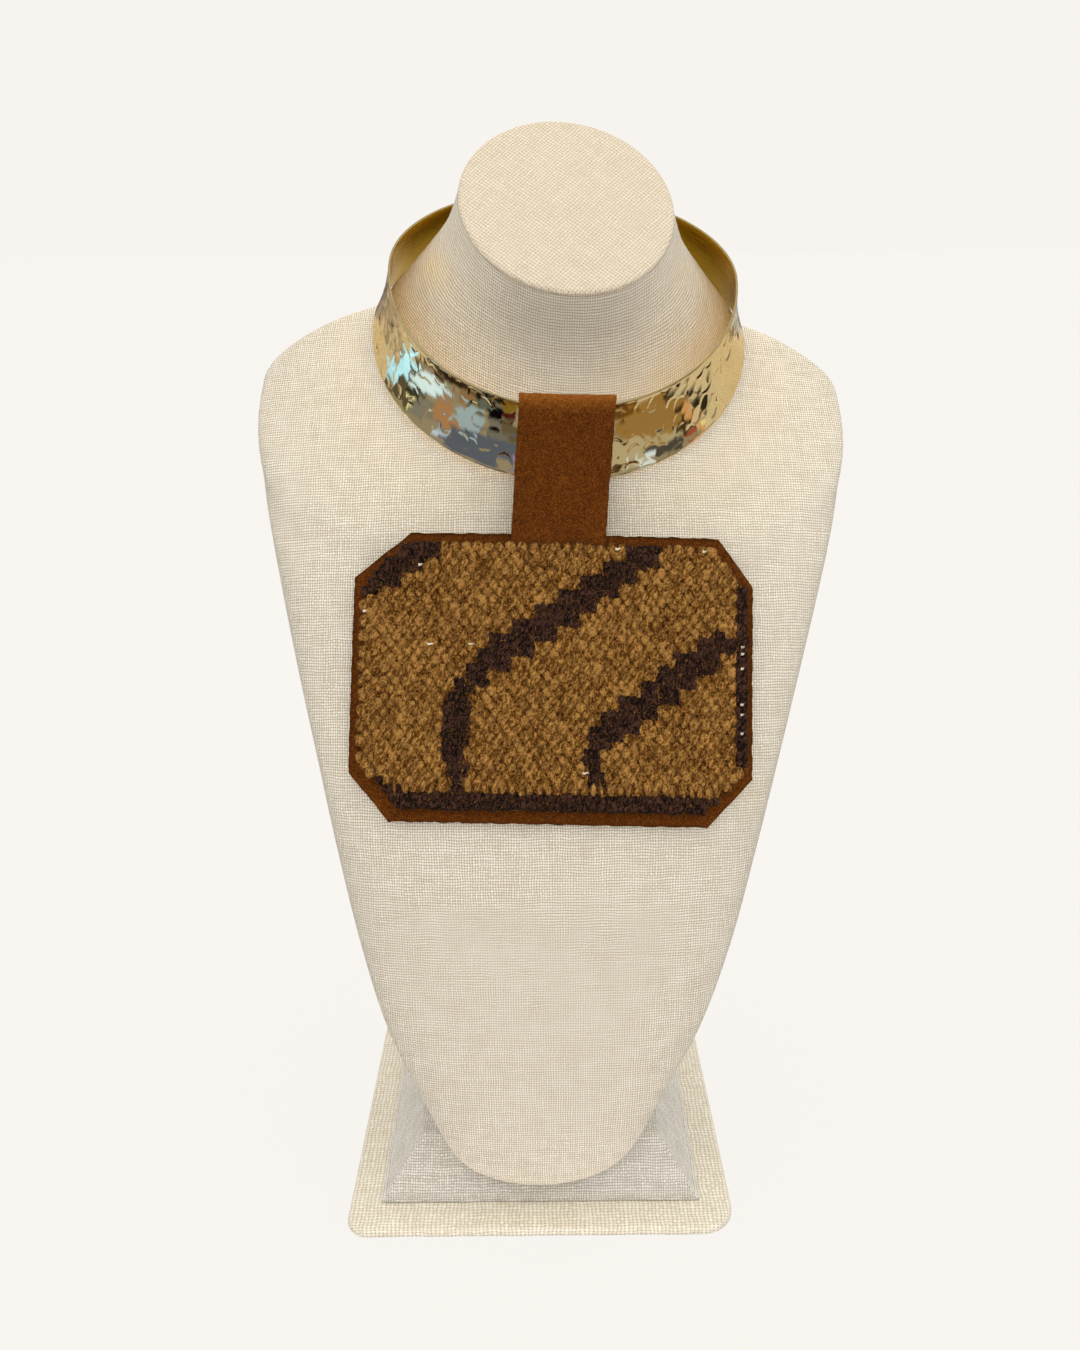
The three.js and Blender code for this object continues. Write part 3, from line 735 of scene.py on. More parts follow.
def hammered_collar(material):
    c = COLLAR
    half_thick, skin = BAND.half_thick, BAND.skin
    half_opening = math.acos(c.opening / 2 / c.half)
    # Even steps along the band rather than in angle.
    fine = math.pi - half_opening + np.linspace(0, 1, 4001) * (math.pi + 2 * half_opening)
    run = running_length(collar_point(fine, c.flare / 2, c.drop / 2))
    length = run[-1]
    places = np.linspace(0, length, BAND_ALONG)
    angle = np.interp(places, run, fine)[:, None]
    width = math.hypot(c.flare, c.drop)
    share = np.linspace(0, 1, BAND_OUTSIDE)
    dent = hammered_face(places, share * width, length, width)
    # The two ends are rounded: the band narrows from both edges.
    to_end = np.minimum(places, length - places)
    bend = 1 - np.sqrt(np.clip(1 - (1 - to_end / c.end) ** 2, 0, 1))
    trim = np.where(to_end < c.end, bend, 0)[:, None] * c.end / c.drop
    top, bottom = trim, 1 - trim
    # Outside down, round the lower edge, inside up, round the upper edge.
    turn = np.linspace(0, math.pi, 7)[1:-1]
    one = np.ones((BAND_ALONG, 1))
    shares = np.concatenate([
        top + (bottom - top) * share,
        bottom + half_thick * np.sin(turn) / width,
        bottom + (top - bottom) * np.linspace(0, 1, BAND_INSIDE),
        top - half_thick * np.sin(turn) / width], 1)
    depths = skin + np.concatenate([
        dent,
        one * half_thick * (1 - np.cos(turn)),
        one * np.full(BAND_INSIDE, 2 * half_thick),
        one * half_thick * (1 + np.cos(turn))], 1)
    depths += BAND.hollow * (0.5 - (2 * shares - 1) ** 2)
    rings = collar_point(angle, c.flare * shares - depths, c.drop * shares)
    mesh, _ = closed_tube("hammered_collar", rings, rings[0].mean(0), rings[-1].mean(0))
    sides = rings.shape[1]
    edge = np.ones(len(turn))
    height = np.concatenate([share * width, edge * width, np.linspace(width, 0, BAND_INSIDE), edge * 0])
    is_inner = np.concatenate([share * 0, edge * 0, np.ones(BAND_INSIDE), edge * 0])
    set_cloth_map(
        mesh, np.append(np.repeat(places, sides), [0, length]),
        np.append(np.tile(height, BAND_ALONG), [width / 2, width / 2]))
    set_number(mesh, "inner", np.append(np.tile(is_inner, BAND_ALONG), [0, 0]))
    add_piece(mesh, material, "brass", "collar")


# ---------- pendant ----------

PENDANT = Sizes(y=52.9, z=263.2, side=7.2, lean=math.radians(25), twist=math.radians(1.6), bow=850.0)
# Sheets over the chest: sizes, place under the pendant's top and to its side, back and
# face out from the chest side of the panel, mesh step, softening of the edge, unevenness,
# and run and rise of the clipped corners: left and right at the top, then at the bottom.
BACKING = Sizes(
    width=140.6, height=101.2, thick=1.5, top=0.0, side=0.0, back=-1.5, face=0.0, step=1.6,
    edge=0.25, wave=0.12, clips=((19.6, 16.2), (12.5, 17.0), (14.6, 16.6), (15.6, 16.6)))
PANEL = Sizes(
    width=133.0, height=92.0, thick=4.0, top=4.6, side=0.2, back=0.3, face=3.8, step=2.0,
    edge=1.6, wave=0.0, clips=((14.0, 16.4), (12.3, 12.8), (15.0, 18.0), (14.0, 15.4)))


def pendant_point(across, up, out):
    """Arrays of points of the pendant: across and up its slope, and out of its face."""
    p = PENDANT
    angle = np.asarray(across, float) / p.bow
    radius = p.bow + out
    x, slope = turned(radius * np.sin(angle), up, p.twist)
    y, z = turned(p.bow - radius * np.cos(angle), slope, p.lean)
    return np.stack([x + p.side, y + p.y, z + p.z], -1)


def over_panel(points):
    """Panel points (across, up, out) in place, up being 0 at the panel's top edge."""
    return placed(pendant_point(points[:, 0] + PANEL.side, points[:, 1] - PANEL.top, points[:, 2]))


def chamfered_reach(shape, across):
    """How far up and down the outline reaches at distances across its middle."""
    left, right = shape.width / 2 + across, shape.width / 2 - across
    cuts = [
        np.where(side < run, rise * (1 - side / run), 0)
        for side, (run, rise) in zip((left, right, left, right), shape.clips)]
    return -np.maximum(cuts[0], cuts[1]), np.maximum(cuts[2], cuts[3]) - shape.height


def chamfer_stations(shape):
    """Places across a sheet, even but for one at each end of its chamfers."""
    half = shape.width / 2
    wanted = {side * (run - half) for side, (run, _) in zip((1, -1, 1, -1), shape.clips)}
    even = np.linspace(-half, half, int(shape.width / shape.step) + 1)
    kept = [x for x in even if min(abs(x - w) for w in wanted) > shape.step * 0.3 or abs(x) == half]
    return np.array(sorted({*kept, *wanted}))


def wavy(x, y, seed):
    """Gentle unevenness, about -1 to 1, over millimetres x and y."""
    chance = random.Random(seed)
    total = 0
    for scale in (0.045, 0.09, 0.19):
        turn, phase = chance.uniform(0, math.tau), chance.uniform(0, math.tau)
        a, b = turned(x, y, turn)
        total = total + np.sin(a * scale * math.tau + phase) / 3 + np.sin(b * scale * 5.1 + phase * 2) / 6
    return total


def slab(name, shape, material, slot, replaced):
    """A chamfered sheet over the chest, with softened edges and a slightly uneven face."""
    stations = chamfer_stations(shape)
    top, bottom = chamfered_reach(shape, stations)
    a, b = len(stations), int(shape.height / shape.step) + 1
    across, share = np.meshgrid(stations, np.linspace(0, 1, b), indexing="ij")
    up = top[:, None] + (bottom - top)[:, None] * share
    ends, sides = np.zeros((2, a, b))
    ends[[0, -1]] = 1
    sides[:, [0, -1]] = 1
    ragged = wavy(across * 2.2, up * 2.2, 31) * 0.25
    lift = wavy(across, up, 12) * shape.wave
    x = across + shape.side + ragged * ends
    y = up - shape.top + ragged * sides
    front = pendant_point(x, y, shape.face - shape.edge * np.maximum(ends, sides) + lift)
    rear = pendant_point(x, y, shape.back + lift * 0.5)
    border = [i * b for i in range(a)] + [(a - 1) * b + j for j in range(1, b)]
    border += [i * b + b - 1 for i in range(a - 2, -1, -1)] + [*range(b - 2, 0, -1)]
    border = np.array(border)
    following = np.roll(border, -1)
    wall = np.stack([border, following, following + a * b, border + a * b], -1)
    face = grid_quads(a, b, closed=False)
    quads = np.concatenate([face[:, ::-1], face + a * b, wall])
    mesh = make_mesh(name, placed([*front.reshape(-1, 3), *rear.reshape(-1, 3)]), quads)
    set_cloth_map(mesh, np.tile(across.ravel(), 2), np.tile(up.ravel(), 2))
    return add_piece(mesh, material, slot, replaced)


def inside_panel(across, up, margin):
    """Whether a point lies on the panel's face, up being 0 at its top edge."""
    top, bottom = chamfered_reach(PANEL, across)
    half = PANEL.width / 2
    return abs(across) < half - margin and bottom + margin < up < top - margin


# Weaving: warps run across in ribs from the top, wefts are picks from the left.
RIB = 2.62
PICK = 1.94
RIBS = int(PANEL.height / RIB)
PICKS = int(PANEL.width / PICK)
# The dark bands, charted in steps: first rib, last rib, first pick, last pick.
DARK_STEPS = [
    (0, 2, 47, 52), (2, 4, 43, 48), (4, 6, 39, 45), (6, 8, 35, 41), (8, 10, 31, 38), (10, 12, 27, 34),
    (12, 14, 23, 30), (14, 16, 21, 26), (16, 18, 19, 22), (18, 19, 17, 20), (20, 22, 16, 18),
    (21, 26, 15, 19), (27, 28, 15, 18), (29, 30, 16, 19), (31, 33, 17, 18),
    (11, 11, 63, 64), (12, 13, 60, 68), (14, 15, 56, 63), (16, 16, 56, 62), (16, 18, 53, 59),
    (18, 20, 50, 56), (20, 22, 46, 52), (22, 24, 43, 49), (24, 25, 41, 46), (26, 26, 41, 44),
    (27, 28, 40, 42), (29, 29, 41, 42), (30, 31, 41, 43),
    (0, 1, 0, 13), (2, 3, 0, 10), (4, 5, 0, 6), (6, 6, 0, 2),
    (5, 28, 67, 70), (33, 36, 0, 70), (31, 31, 0, 4), (32, 32, 0, 7),
]
COMB_RIB = 32
COMB_PITCH = 3.05
# Half width, half length and depth of a weft's bead.
DARK_BEAD = (1.42, 2.1, 1.45)
TAN_BEAD = (1.98, 2.6, 1.2)
COMB_BEAD = (1.2, 2.8, 1.75)


def is_dark(rib, pick):
    return any(a <= rib <= b and c <= pick <= d for a, b, c, d in DARK_STEPS)


def lay_wefts():
    """Every weft float as (across, up, half width, half length, depth, turn, tone), by colour."""
    chance = random.Random(5)
    found = {"tan": [], "dark": []}

    def lay(colour, x, y, broad, tall, deep):
        if inside_panel(x, y, -0.3):
            found[colour].append((
                x + chance.gauss(0, 0.2), y + chance.gauss(0, 0.22), broad + chance.gauss(0, 0.14),
                tall + chance.gauss(0, 0.22), deep + chance.gauss(0, 0.12),
                chance.gauss(0.06, 0.16), chance.random()))

    for rib in range(RIBS + 1):
        for pick in range(PICKS + 1):
            x = (pick + 0.4) * PICK - PANEL.width / 2
            y = -(rib + 0.4) * RIB
            if is_dark(rib, pick):
                # Packed closer and a little prouder, so that the steps keep square corners.
                lay("dark", x, y, *DARK_BEAD)
            elif rib < COMB_RIB and (rib + pick) % 2 == 0:
                lay("tan", x, y, *TAN_BEAD)
    # The last tan wefts end in a comb over the dark border.
    for tooth in range(int(PANEL.width / COMB_PITCH)):
        x = (tooth + 0.5) * COMB_PITCH - PANEL.width / 2
        if not is_dark(COMB_RIB, round((x + PANEL.width / 2) / PICK)):
            lay("tan", x, -COMB_RIB * RIB - 0.5 + chance.gauss(0, 0.35), *COMB_BEAD)
    return found


BEAD_AROUND, BEAD_ALONG = 10, 7
BEAD_SEAT = PANEL.thick - 0.95  # the beads' own middle, out from the panel's back


def weft_beads(tan, dark):
    """The wefts as beads of yarn, one piece for each colour."""
    found = lay_wefts()
    chance = np.random.default_rng(9)
    t = np.linspace(-1, 1, BEAD_ALONG + 2)[1:-1]
    profile = ((1 - np.abs(t) ** 2.6) ** 0.5)[:, None]
    ring = np.arange(BEAD_AROUND) / BEAD_AROUND * math.tau
    quads = grid_quads(BEAD_ALONG, BEAD_AROUND)
    fans = end_fans(BEAD_ALONG, BEAD_AROUND)
    pieces = []
    for colour, material in (("tan", tan), ("dark", dark)):
        x, y, broad, tall, deep, turn, tone = np.array(found[colour]).T[:, :, None, None]
        bx = broad * profile * np.cos(ring)
        by = tall * t[:, None]
        jitter = chance.normal(0, 0.06, bx.shape)
        body = np.stack([
            x + bx * np.cos(turn) - by * np.sin(turn) + jitter,
            y + by * np.cos(turn) + bx * np.sin(turn) + jitter,
            deep * profile ** 1.5 * np.sin(ring) + jitter], -1).reshape(len(x), -1, 3)
        ends = [
            np.stack([x + reach * np.sin(turn), y - reach * np.cos(turn), 0 * x - 0.6], -1)
            for reach in (tall, -tall)]
        points = np.concatenate([body, *(end.reshape(-1, 1, 3) for end in ends)], 1)
        number, size = points.shape[:2]
        flat = points.reshape(-1, 3)
        mesh = make_mesh(
            "weft_" + colour, over_panel(flat + [0, 0, BEAD_SEAT]),
            copies(quads, number, size), copies(fans, number, size))
        set_number(mesh, "tone", np.repeat(tone.ravel(), size))
        # Painted highlight on each bead's top and painted shade low down, where it sinks into the ground.
        set_number(mesh, "painted_crest_light", smoothstep(flat[:, 2], -0.5, 1.35))
        round_bead = np.append(np.tile(ring, BEAD_ALONG) * 1.3, [0, 0])
        along_bead = np.append(np.repeat(t, BEAD_AROUND), [-1, 1])
        tone, tall = tone.reshape(-1, 1), tall.reshape(-1, 1)
        set_cloth_map(mesh, (round_bead + tone * 40).ravel(), (along_bead * tall + tone * 17).ravel())
        pieces.append(add_piece(mesh, material, "wool"))
    return pieces


def strands(name, routes, radius, material):
    """Thin three-sided threads along routes given over the panel: across, up and out."""
    routes = np.asarray(routes, float)
    number, steps = routes.shape[:2]
    ring = (np.arange(3) / 3 * math.tau)[:, None]
    taper = np.linspace(1, 0.35, steps)[:, None, None] * np.reshape(radius, (-1, 1, 1, 1))
    along = np.gradient(routes, axis=1)
    along /= np.linalg.norm(along, axis=2)[..., None]
    side = np.cross(along, [0.0, 0.0, 1.0])
    side /= np.linalg.norm(side, axis=2)[..., None] + 1e-9
    rise = np.cross(side, along)
    tube = routes[:, :, None] + taper * (side[:, :, None] * np.cos(ring) + rise[:, :, None] * np.sin(ring))
    flat = tube.reshape(-1, 3)
    size = steps * 3
    caps = np.array([[2, 1, 0], [size - 3, size - 2, size - 1]])
    mesh = make_mesh(
        name, over_panel(flat), copies(grid_quads(steps, 3), number, size),
        copies(caps, number, size))
    set_number(mesh, "tone", np.repeat(np.random.default_rng(4).random(number), size))
    # Stray threads take a strong painted highlight.
    set_number(mesh, "painted_crest_light", 0.9)
    set_cloth_map(mesh, flat[:, 0] * 3, flat[:, 1])
    return add_piece(mesh, material, "wool")


def stray_hairs(name, count, seed, keep, material, length, radius):
    """Curled hairs standing off the weave where keep(rib, pick) holds."""
    chance = random.Random(seed)
    routes, radii = [], []
    while len(routes) < count:
        x = chance.uniform(-0.5, 0.5) * PANEL.width
        y = -chance.uniform(0, 1) * PANEL.height
        if not inside_panel(x, y, -0.2):
            continue
        if not keep(round(-y / RIB), round((x + PANEL.width / 2) / PICK)):
            continue
        heading, curl = chance.uniform(0, math.tau), chance.gauss(0, 0.5)
        reach, lift = chance.uniform(*length) / 7, chance.uniform(0.3, 1.1)
        route = []
        for i in range(8):
            route.append((x, y, PANEL.thick + 0.1 + lift * math.sin(i / 7 * math.pi * 0.8)))
            x += reach * math.cos(heading)
            y += reach * math.sin(heading)
            heading += curl
        routes.append(route)
        radii.append(chance.uniform(*radius))
    return strands(name, routes, radii, material)


# Where cotton warp shows: across from the panel's left, up, length of each.
PEEKS = [
    (24.3, -35.1, 2.4), (38.3, -34.9, 2.2), (78.4, -78.6, 2.0), (1.2, -23.8, 1.2), (20.2, -7.4, 1.4),
    *((132.0, -y, 1.1) for y in (34.0, 36.4, 41.5, 54.0, 57.5, 64.0)),
    (88.4, -0.8, 1.8), (118.6, -0.9, 1.6),
]


def white_warps(material):
    steps = np.linspace(-0.5, 0.5, 7)
    routes = [
        np.stack([
            x - PANEL.width / 2 + steps * length,
            y + 0.15 * np.sin(steps * 7),
            PANEL.thick + 0.35 - 1.2 * steps ** 2], -1)
        for x, y, length in PEEKS]
    return strands("white_warps", routes, 0.62, material)


# ---------- strap ----------

STRAP = Sizes(
    width=33.2, lean=math.radians(4.2), gap=0.75, tuck=14.0, back_tuck=12.0, bend=3.0, rise=4.0,
    hem_turn=math.radians(38), bow_from=1.0, bow_to=14.0, thick=1.4, bridge=1.4, ragged=0.22,
    soft_edge=0.18, wave=0.12)


def strap_route():
    """The strap's middle line, (y, z): up the face, over the rim, round the hem, behind."""
    s, c = STRAP, COLLAR
    half = s.thick / 2
    fold = c.thick / 2 + s.gap + half
    out_front = s.gap + half
    behind = -BACKING.thick - out_front

    def on_face(up, out):
        return pendant_point(0.0, up, out)[1:]

    def straight(a, b, n):
        return [a + (b - a) * t for t in np.linspace(0, 1, n)[:-1]]

    def bent(a, b, d, n):
        return [(1 - t) ** 2 * a + 2 * t * (1 - t) * b + t * t * d for t in np.linspace(0, 1, n)[:-1]]

    def arc(middle, start, end, n):
        return [middle + fold * spoke(a) for a in np.linspace(start, end, n)[:-1]]

    front = -math.pi / 2
    rim = collar_point(front, -c.thick / 2, 0.0)[1:]
    hem = collar_point(front, c.flare - c.thick / 2, c.drop)[1:]
    wall = math.atan2(hem[0] - rim[0], rim[1] - hem[1])
    leave = spoke(wall) * fold
    lift = np.array([PENDANT.y - half - 0.3, PENDANT.z + s.rise])
    line = straight(on_face(-s.tuck, out_front), on_face(-s.bend, out_front), 12)
    line += bent(on_face(-s.bend, out_front), on_face(0.0, out_front), lift, 10)
    line += straight(lift, rim - np.array([fold, 0]), 44)
    line += arc(rim, math.pi, wall, 18)
    line += straight(rim + leave, hem + leave, 32)
    line += arc(hem, wall, -s.hem_turn, 10)
    past_hem = hem + fold * spoke(-s.hem_turn)
    line += bent(past_hem, on_face(s.rise, behind - half), on_face(-s.bend, behind), 16)
    line += straight(on_face(-s.bend, behind), on_face(-s.back_tuck, behind), 12)
    line.append(on_face(-s.back_tuck, behind))
    return np.array(line)


def strap_middle(z):
    c = COLLAR
    rim_front = c.z - c.front * math.sin(c.tilt)
    return c.side - (rim_front - z) * math.tan(STRAP.lean)


def strap_side(line, normal, run, across, facing):
    """Points of the strap's outer face, facing 1, or its inner face, facing -1."""
    s, c = STRAP, COLLAR
    u, v = np.meshgrid(across, run)
    rim = np.abs(u) > s.width / 2 - 0.01
    ragged = np.where(rim, np.sign(u) * (wavy(v * 2.0, v * 0.7 + 5, 3) * s.ragged), 0)
    off = (s.thick / 2 - s.soft_edge * rim) * facing + wavy(u, v, 8) * s.wave
    y = line[:, :1] + normal[:, :1] * off
    z = line[:, 1:] + normal[:, 1:] * off
    x = strap_middle(z) + u + ragged
    side = x - c.side - (z - c.z) * math.sin(c.roll)
    bow = c.front * (1 - np.sqrt(1 - (side / c.half) ** 2))
    on_collar = smoothstep(z - PENDANT.z, s.bow_from, s.bow_to)
    # The fold is stiffer than the rim is round, so its middle stands off a little.
    fold_top = line[:, 1].max()
    bridge = s.bridge * smoothstep(z, fold_top - 7, fold_top) * (1 - (2 * u / s.width) ** 2)
    lowered = bow * math.sin(c.tilt) - side * math.sin(c.roll)
    return np.stack([x, y + on_collar * bow * math.cos(c.tilt), z + on_collar * lowered + bridge], -1)


def suede_strap(material):
    """The strap as one closed loop at each step: across its outside, back along its inside."""
    line = strap_route()
    tangent = np.gradient(line, axis=0)
    tangent /= np.linalg.norm(tangent, axis=1)[:, None]
    normal = np.stack([-tangent[:, 1], tangent[:, 0]], -1)
    run = running_length(line)
    across = np.linspace(-0.5, 0.5, 35) * STRAP.width
    outer, inner = (strap_side(line, normal, run, across, facing) for facing in (1, -1))
    rings = np.concatenate([outer, inner[:, ::-1]], 1)
    rows, around = rings.shape[:2]
    i = np.arange(len(across) - 1)
    end = np.stack([i, i + 1, around - 2 - i, around - 1 - i], -1)
    quads = np.concatenate([grid_quads(rows, around), end, end[:, ::-1] + (rows - 1) * around])
    mesh = make_mesh("suede_strap", placed(rings.reshape(-1, 3)), quads)
    # Painted highlight along the fold over the rim, fading within a few millimetres of it.
    painted_fold_highlight = 1 - smoothstep(np.abs(run - run[np.argmax(line[:, 1])]), 1.0, 7.0)
    set_number(mesh, "painted_fold_highlight", np.repeat(painted_fold_highlight, around))
    return add_piece(mesh, material, "suede", "strap"), run[-1]


# ---------- materials ----------

# The bust's linen carries painted light by the band: a painted warm glow and painted shade.
LINEN = linen_material(
    "linen", 0.9, 1.0, srgb(244, 234, 218), srgb(220, 207, 186), srgb(78, 62, 46), stain=0.2,
    with_painted_light=True)
# Darker than the bust's linen, partly as painted shade for the bust that overhangs the block.
BLOCK_LINEN = linen_material(
    "block_linen", 0.95, 1.05, srgb(240, 233, 223), srgb(206, 197, 185), srgb(84, 72, 58), stain=0.3)
NECK_TOP = linen_material(
    "linen_neck_top", 1.2, 1.2, srgb(232, 219, 198), srgb(218, 203, 180), srgb(166, 146, 116),
    turn=math.radians(40))
CANVAS = linen_material(
    "canvas", 1.55, 1.4, srgb(245, 236, 219), srgb(222, 210, 189), srgb(158, 146, 126), stain=0.3)
SUEDE = suede_material()
TAN_WOOL = wool_material("tan_wool", srgb(44, 22, 3), srgb(105, 66, 21), srgb(174, 128, 68))
DARK_WOOL = wool_material("dark_wool", srgb(3, 1, 1), srgb(17, 9, 6), srgb(78, 50, 38))
COTTON = wool_material("white_cotton", srgb(214, 184, 142), srgb(250, 226, 188), srgb(255, 240, 212))
BRASS = brass_material()

# ---------- pieces ----------

neck_form(LINEN, NECK_TOP)
base_plate(CANVAS)
linen_block(BLOCK_LINEN)
linen_riser(LINEN)
hammered_collar(BRASS)
strap_piece, strap_length = suede_strap(SUEDE)
backing_piece = slab("suede_backing", BACKING, SUEDE, "suede", "backing")
ground = slab("woven_ground", PANEL, TAN_WOOL, "wool", "woven_panel")
set_number(ground.data, "tone", 0.3)
# The ground between the beads takes painted shade, darker than a bead's top.
set_number(ground.data, "painted_crest_light", 0.45)
wool = weft_beads(TAN_WOOL, DARK_WOOL)
for name, count, seed, keep, material, length, radius in (
        ("tan_hairs", 2600, 21, lambda rib, pick: not is_dark(rib, pick), TAN_WOOL, (1.2, 4.5), (0.07, 0.13)),
        ("dark_hairs", 900, 22, is_dark, DARK_WOOL, (1.2, 5.0), (0.07, 0.12)),
        ("pale_hairs", 170, 23, is_dark, TAN_WOOL, (2.0, 6.0), (0.04, 0.06))):
    wool.append(stray_hairs(name, count, seed, keep, material, length, radius))
wool.append(white_warps(COTTON))


# ---------- studio ----------

BACKDROP = srgb(247, 244, 239)
SKY = (0.96, 0.97, 0.95)
SKY_LIGHT, SKY_BY_BRASS = 1.3, 6.0
FLOOR_REACH = 30.0  # metres, past what the camera sees
FLOOR_SHADE = 0.05  # share of the floor's light that is reflected rather than its own


def stage_floor():
    """Plain backdrop: it neither lights the stand nor shows in the brass."""
    corners = [(x * FLOOR_REACH, y * FLOOR_REACH, 0) for x, y in ((-1, -1), (1, -1), (1, 1), (-1, 1))]
    mesh = make_mesh("floor", corners, [[0, 1, 2, 3]])
    floor = add_object("floor", mesh)
    mesh.materials.append(new_nodes("floor").surface(
        Base_Color=[c * FLOOR_SHADE for c in BACKDROP], Roughness=1.0, Specular_IOR_Level=0.0,
        Emission_Color=BACKDROP, Emission_Strength=1 - FLOOR_SHADE))
    floor.visible_diffuse = False
    floor.visible_glossy = False
    floor.visible_shadow = False


LIT = Vector((0, 0, 0.25))
LAMPS = [  # name, place, size, watts, colour
    ("bounce", (0.0, -1.0, -0.4), (1.2, 0.5), 7.8, (1.0, 0.97, 0.95)),
    ("top", (0.0, -0.1, 1.55), (1.0, 1.0), 3.4, (1.0, 0.92, 0.78)),
    ("right", (1.36, -0.5, 0.64), (1.0, 1.2), 3.0, (0.90, 0.95, 1.0)),
    ("left", (-1.4, -0.4, 0.56), (1.0, 1.2), 1.5, (0.90, 0.94, 1.0)),
]


def area_light(name, place, size, power, colour):
    light = bpy.data.lights.new(name, "AREA")
    light.shape = "RECTANGLE"
    light.size, light.size_y = size
    light.energy = power
    light.color = colour
    lamp = add_object(name, light)
    lamp.location = place
    lamp.rotation_euler = (LIT - Vector(place)).to_track_quat("-Z", "Y").to_euler()
    lamp.visible_glossy = False


# The room that the polished brass shows, as patches by direction in degrees: azimuth from
# straight in front and growing to the right, elevation, half sizes, elevation gained for
# each degree of azimuth, softness, and the colour that the band takes there.
ROOM = [
    (-143, -2, 17, 12, 0, 0.3, (166, 146, 112)),
    (-119, -17, 12, 1.6, -0.75, 0.3, (216, 192, 142)),
    (-110, -8, 10, 7, -0.5, 0.15, (88, 78, 52)),
    (-104, -12, 5, 3, -0.7, 0.2, (58, 54, 32)),
    (-113, -13, 5, 3, 0, 0.2, (98, 82, 56)),
    (-109, -25, 8, 3, -0.8, 0.3, (84, 68, 42)),
    (-98, -33, 10, 3.6, -0.75, 0.2, (48, 34, 16)),
    (-124, -1, 6, 2.8, -0.3, 0.15, (186, 242, 252)),
    (-120, -8.5, 4.5, 6.5, 0, 0.15, (190, 244, 252)),
    (-94, -25, 8, 4, -0.7, 0.4, (140, 124, 98)),
    (-103, -19, 9.5, 3.8, -0.75, 0.3, (216, 238, 234)),
    (-95, -13.5, 8, 3.8, -0.75, 0.3, (124, 118, 98)),
    (-103, -8.5, 3, 1.3, -0.5, 0.3, (236, 226, 156)),
    (-56, -32, 27, 7.5, -0.42, 0.06, (88, 92, 97)),
    (-80, -18.5, 2.5, 1.4, -0.6, 0.2, (196, 208, 214)),
    (-83, -24.5, 9.5, 4.4, -0.35, 0.3, (166, 122, 76)),
    (-84, -37.5, 7, 5, -0.6, 0.3, (138, 108, 68)),
    (-70, -44, 9, 4.4, -0.6, 0.3, (98, 100, 82)),
    (-73, -33.5, 9, 4.4, -0.45, 0.1, (152, 168, 164)),
    (-77, -46, 9, 3.4, -0.75, 0.15, (22, 19, 9)),
    (-60, -47, 7, 4.2, -0.35, 0.15, (10, 8, 6)),
    (-49, -43.5, 12, 2.2, -0.15, 0.3, (112, 106, 90)),
    (-45, -48, 9, 4, 0, 0.3, (98, 84, 56)),
    (-60, -55.5, 10, 4, -0.3, 0.2, (126, 96, 28)),
    (-54, -51, 3.5, 2, -0.3, 0.2, (78, 20, 12)),
    (-34.5, -38.5, 1.8, 2, 0, 0.3, (160, 126, 150)),
    (135, -11, 26, 9, 0.3, 0.2, (184, 158, 108)),
    (136, -4.5, 19, 2.6, 0.1, 0.3, (150, 126, 84)),
    (78, -44, 28, 12, 0.5, 0.35, (150, 112, 54)),
    (68, -56, 14, 5, 0.4, 0.5, (114, 74, 20)),
    (98, -40, 8, 1.6, 0.8, 0.4, (132, 106, 70)),
    (52, -38, 15, 6, 0.2, 0.3, (178, 160, 116)),
    (80, -29.5, 13, 2.4, 0.5, 0.3, (174, 156, 112)),
    (77, -26.5, 10, 3.2, 0.5, 0.1, (76, 70, 54)),
    (62, -31, 8, 1.7, 0.33, 0.3, (216, 224, 212)),
    (94, -23, 5.5, 4, 0.3, 0.15, (66, 52, 28)),
    (102, -20, 3.5, 8, 0.2, 0.2, (200, 146, 84)),
    (111, -18, 7.5, 7, 0.2, 0.1, (44, 38, 22)),
    (110, -28, 12, 6, 0.6, 0.1, (30, 26, 16)),
    (103, -33, 7, 2.6, 0.55, 0.15, (44, 36, 18)),
    (119, -18, 5, 1.1, 0.4, 0.15, (48, 40, 20)),
    (109, -12, 6.5, 1.6, 0.42, 0.2, (244, 226, 132)),
    (94, -17.5, 3, 1.5, 0.6, 0.2, (158, 74, 46)),
    (168, 0, 14, 40, 0, 0.4, (190, 178, 146)),
]
ROOM_WALLS = (146, 130, 96)
CEILING = (186, 166, 122)
ROOM_BREAKS_UP = (116.0, 126.0)
ROOM_TONES = (0.36, 0.24), (0.44, 0.82), (0.56, 0.98), (0.66, 1.6)


def seen_in_brass(colour):
    return tuple(c / t for c, t in zip(srgb(*colour), BRASS_TINT))


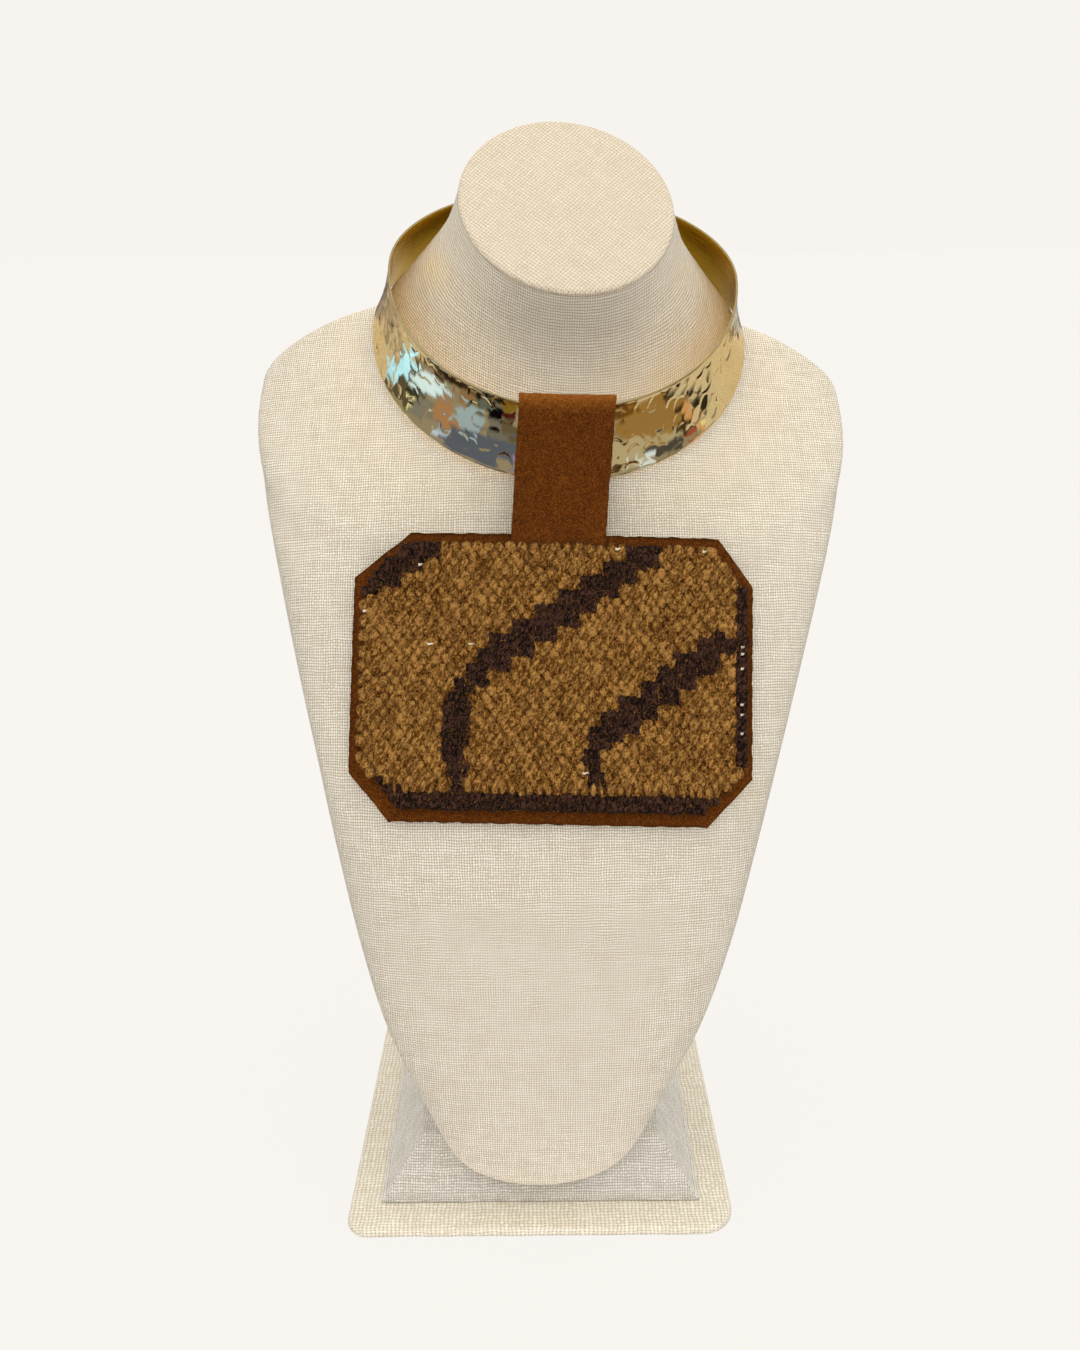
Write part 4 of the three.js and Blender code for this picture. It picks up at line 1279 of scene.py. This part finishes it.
def room_colour(n, direction):
    x, y, z = n.split(direction)
    ragged = n.split(n.noise(direction, 9.0, 1.0, 0.5, out="Color"))
    azimuth = n.math("DEGREES", n.math("ARCTAN2", x, n.multiply(y, -1.0)))
    azimuth = n.add(azimuth, n.multiply_add(ragged[0], 4.0, -2.0))
    elevation = n.math("DEGREES", n.math("ARCSINE", z))
    elevation = n.add(elevation, n.multiply_add(ragged[1], 3.0, -1.5))
    ceiling = n.blend_range(elevation, 12.0, 40.0)
    colour = n.mix(ceiling, seen_in_brass(ROOM_WALLS), seen_in_brass(CEILING))
    for across, up, half_across, half_up, slope, soft, tint in ROOM:
        aside = n.subtract(azimuth, across)
        above = n.subtract(elevation, n.multiply_add(aside, slope, up))
        far = [
            n.math("POWER", n.math("ABSOLUTE", n.math("DIVIDE", off, half)), 3.0)
            for off, half in ((aside, half_across), (above, half_up))]
        inside = n.blend_range(n.add(*far), 1 - soft, 1 + soft, 1.0, 0.0)
        colour = n.mix(inside, colour, seen_in_brass(tint))
    # Towards the back the room breaks up into small lights and darks.
    sideways = n.blend_range(n.math("ABSOLUTE", azimuth), *ROOM_BREAKS_UP)
    broken = n.ramp(n.noise(direction, 17.0, 2.0, 0.6), *ROOM_TONES)
    return n.mix(sideways, colour, broken, blend="MULTIPLY")


def studio_world():
    """Plain backdrop for the camera, soft light from above, and a room for reflections."""
    world = bpy.data.worlds.new("studio")
    n = Nodes(world)
    direction = n.put("TexCoord", out="Generated")
    height = n.split(direction)[2]
    rays = n.put("LightPath", out=None).outputs
    sky = n.mix(n.blend_range(height, -0.6, 0.7), (0.0, 0.0, 0.0), SKY)
    light = n.put("Background", sky, SKY_LIGHT)
    room = n.put("Background", room_colour(n, direction), 1.0)
    backdrop = n.put("Background", BACKDROP, 1.0)
    # Light that reaches the cloth by way of the brass comes from the bright sky, not the room.
    by_brass = n.put("Background", sky, SKY_BY_BRASS)
    on_cloth = n.math("GREATER_THAN", rays["Diffuse Depth"], 0.5)
    mirrored = n.put("MixShader", on_cloth, room, by_brass)
    seen = n.put("MixShader", rays["Is Glossy Ray"], light, mirrored)
    seen = n.put("MixShader", rays["Is Camera Ray"], seen, backdrop)
    n.put("OutputWorld", seen, out=None)
    return world


stage_floor()
for lamp in LAMPS:
    area_light(*lamp)
bpy.context.scene.world = studio_world()

CAMERA_PLACE = [1.63, -359.68, 360.96]
CAMERA_PITCH, CAMERA_ROLL = math.radians(70), math.radians(-0.5)
camera_data = bpy.data.cameras.new("camera")
camera_data.lens = 32
camera_data.sensor_width = camera_data.sensor_height = 36
camera_data.sensor_fit = "VERTICAL"
camera_data.clip_start = 0.01
camera = add_object("camera", camera_data)
camera.matrix_world = (
    Matrix.Translation(placed(CAMERA_PLACE))
    @ Matrix.Rotation(CAMERA_PITCH, 4, "X")
    @ Matrix.Rotation(CAMERA_ROLL, 4, "Z"))
bpy.context.scene.camera = camera
bpy.context.scene.view_settings.view_transform = "Standard"
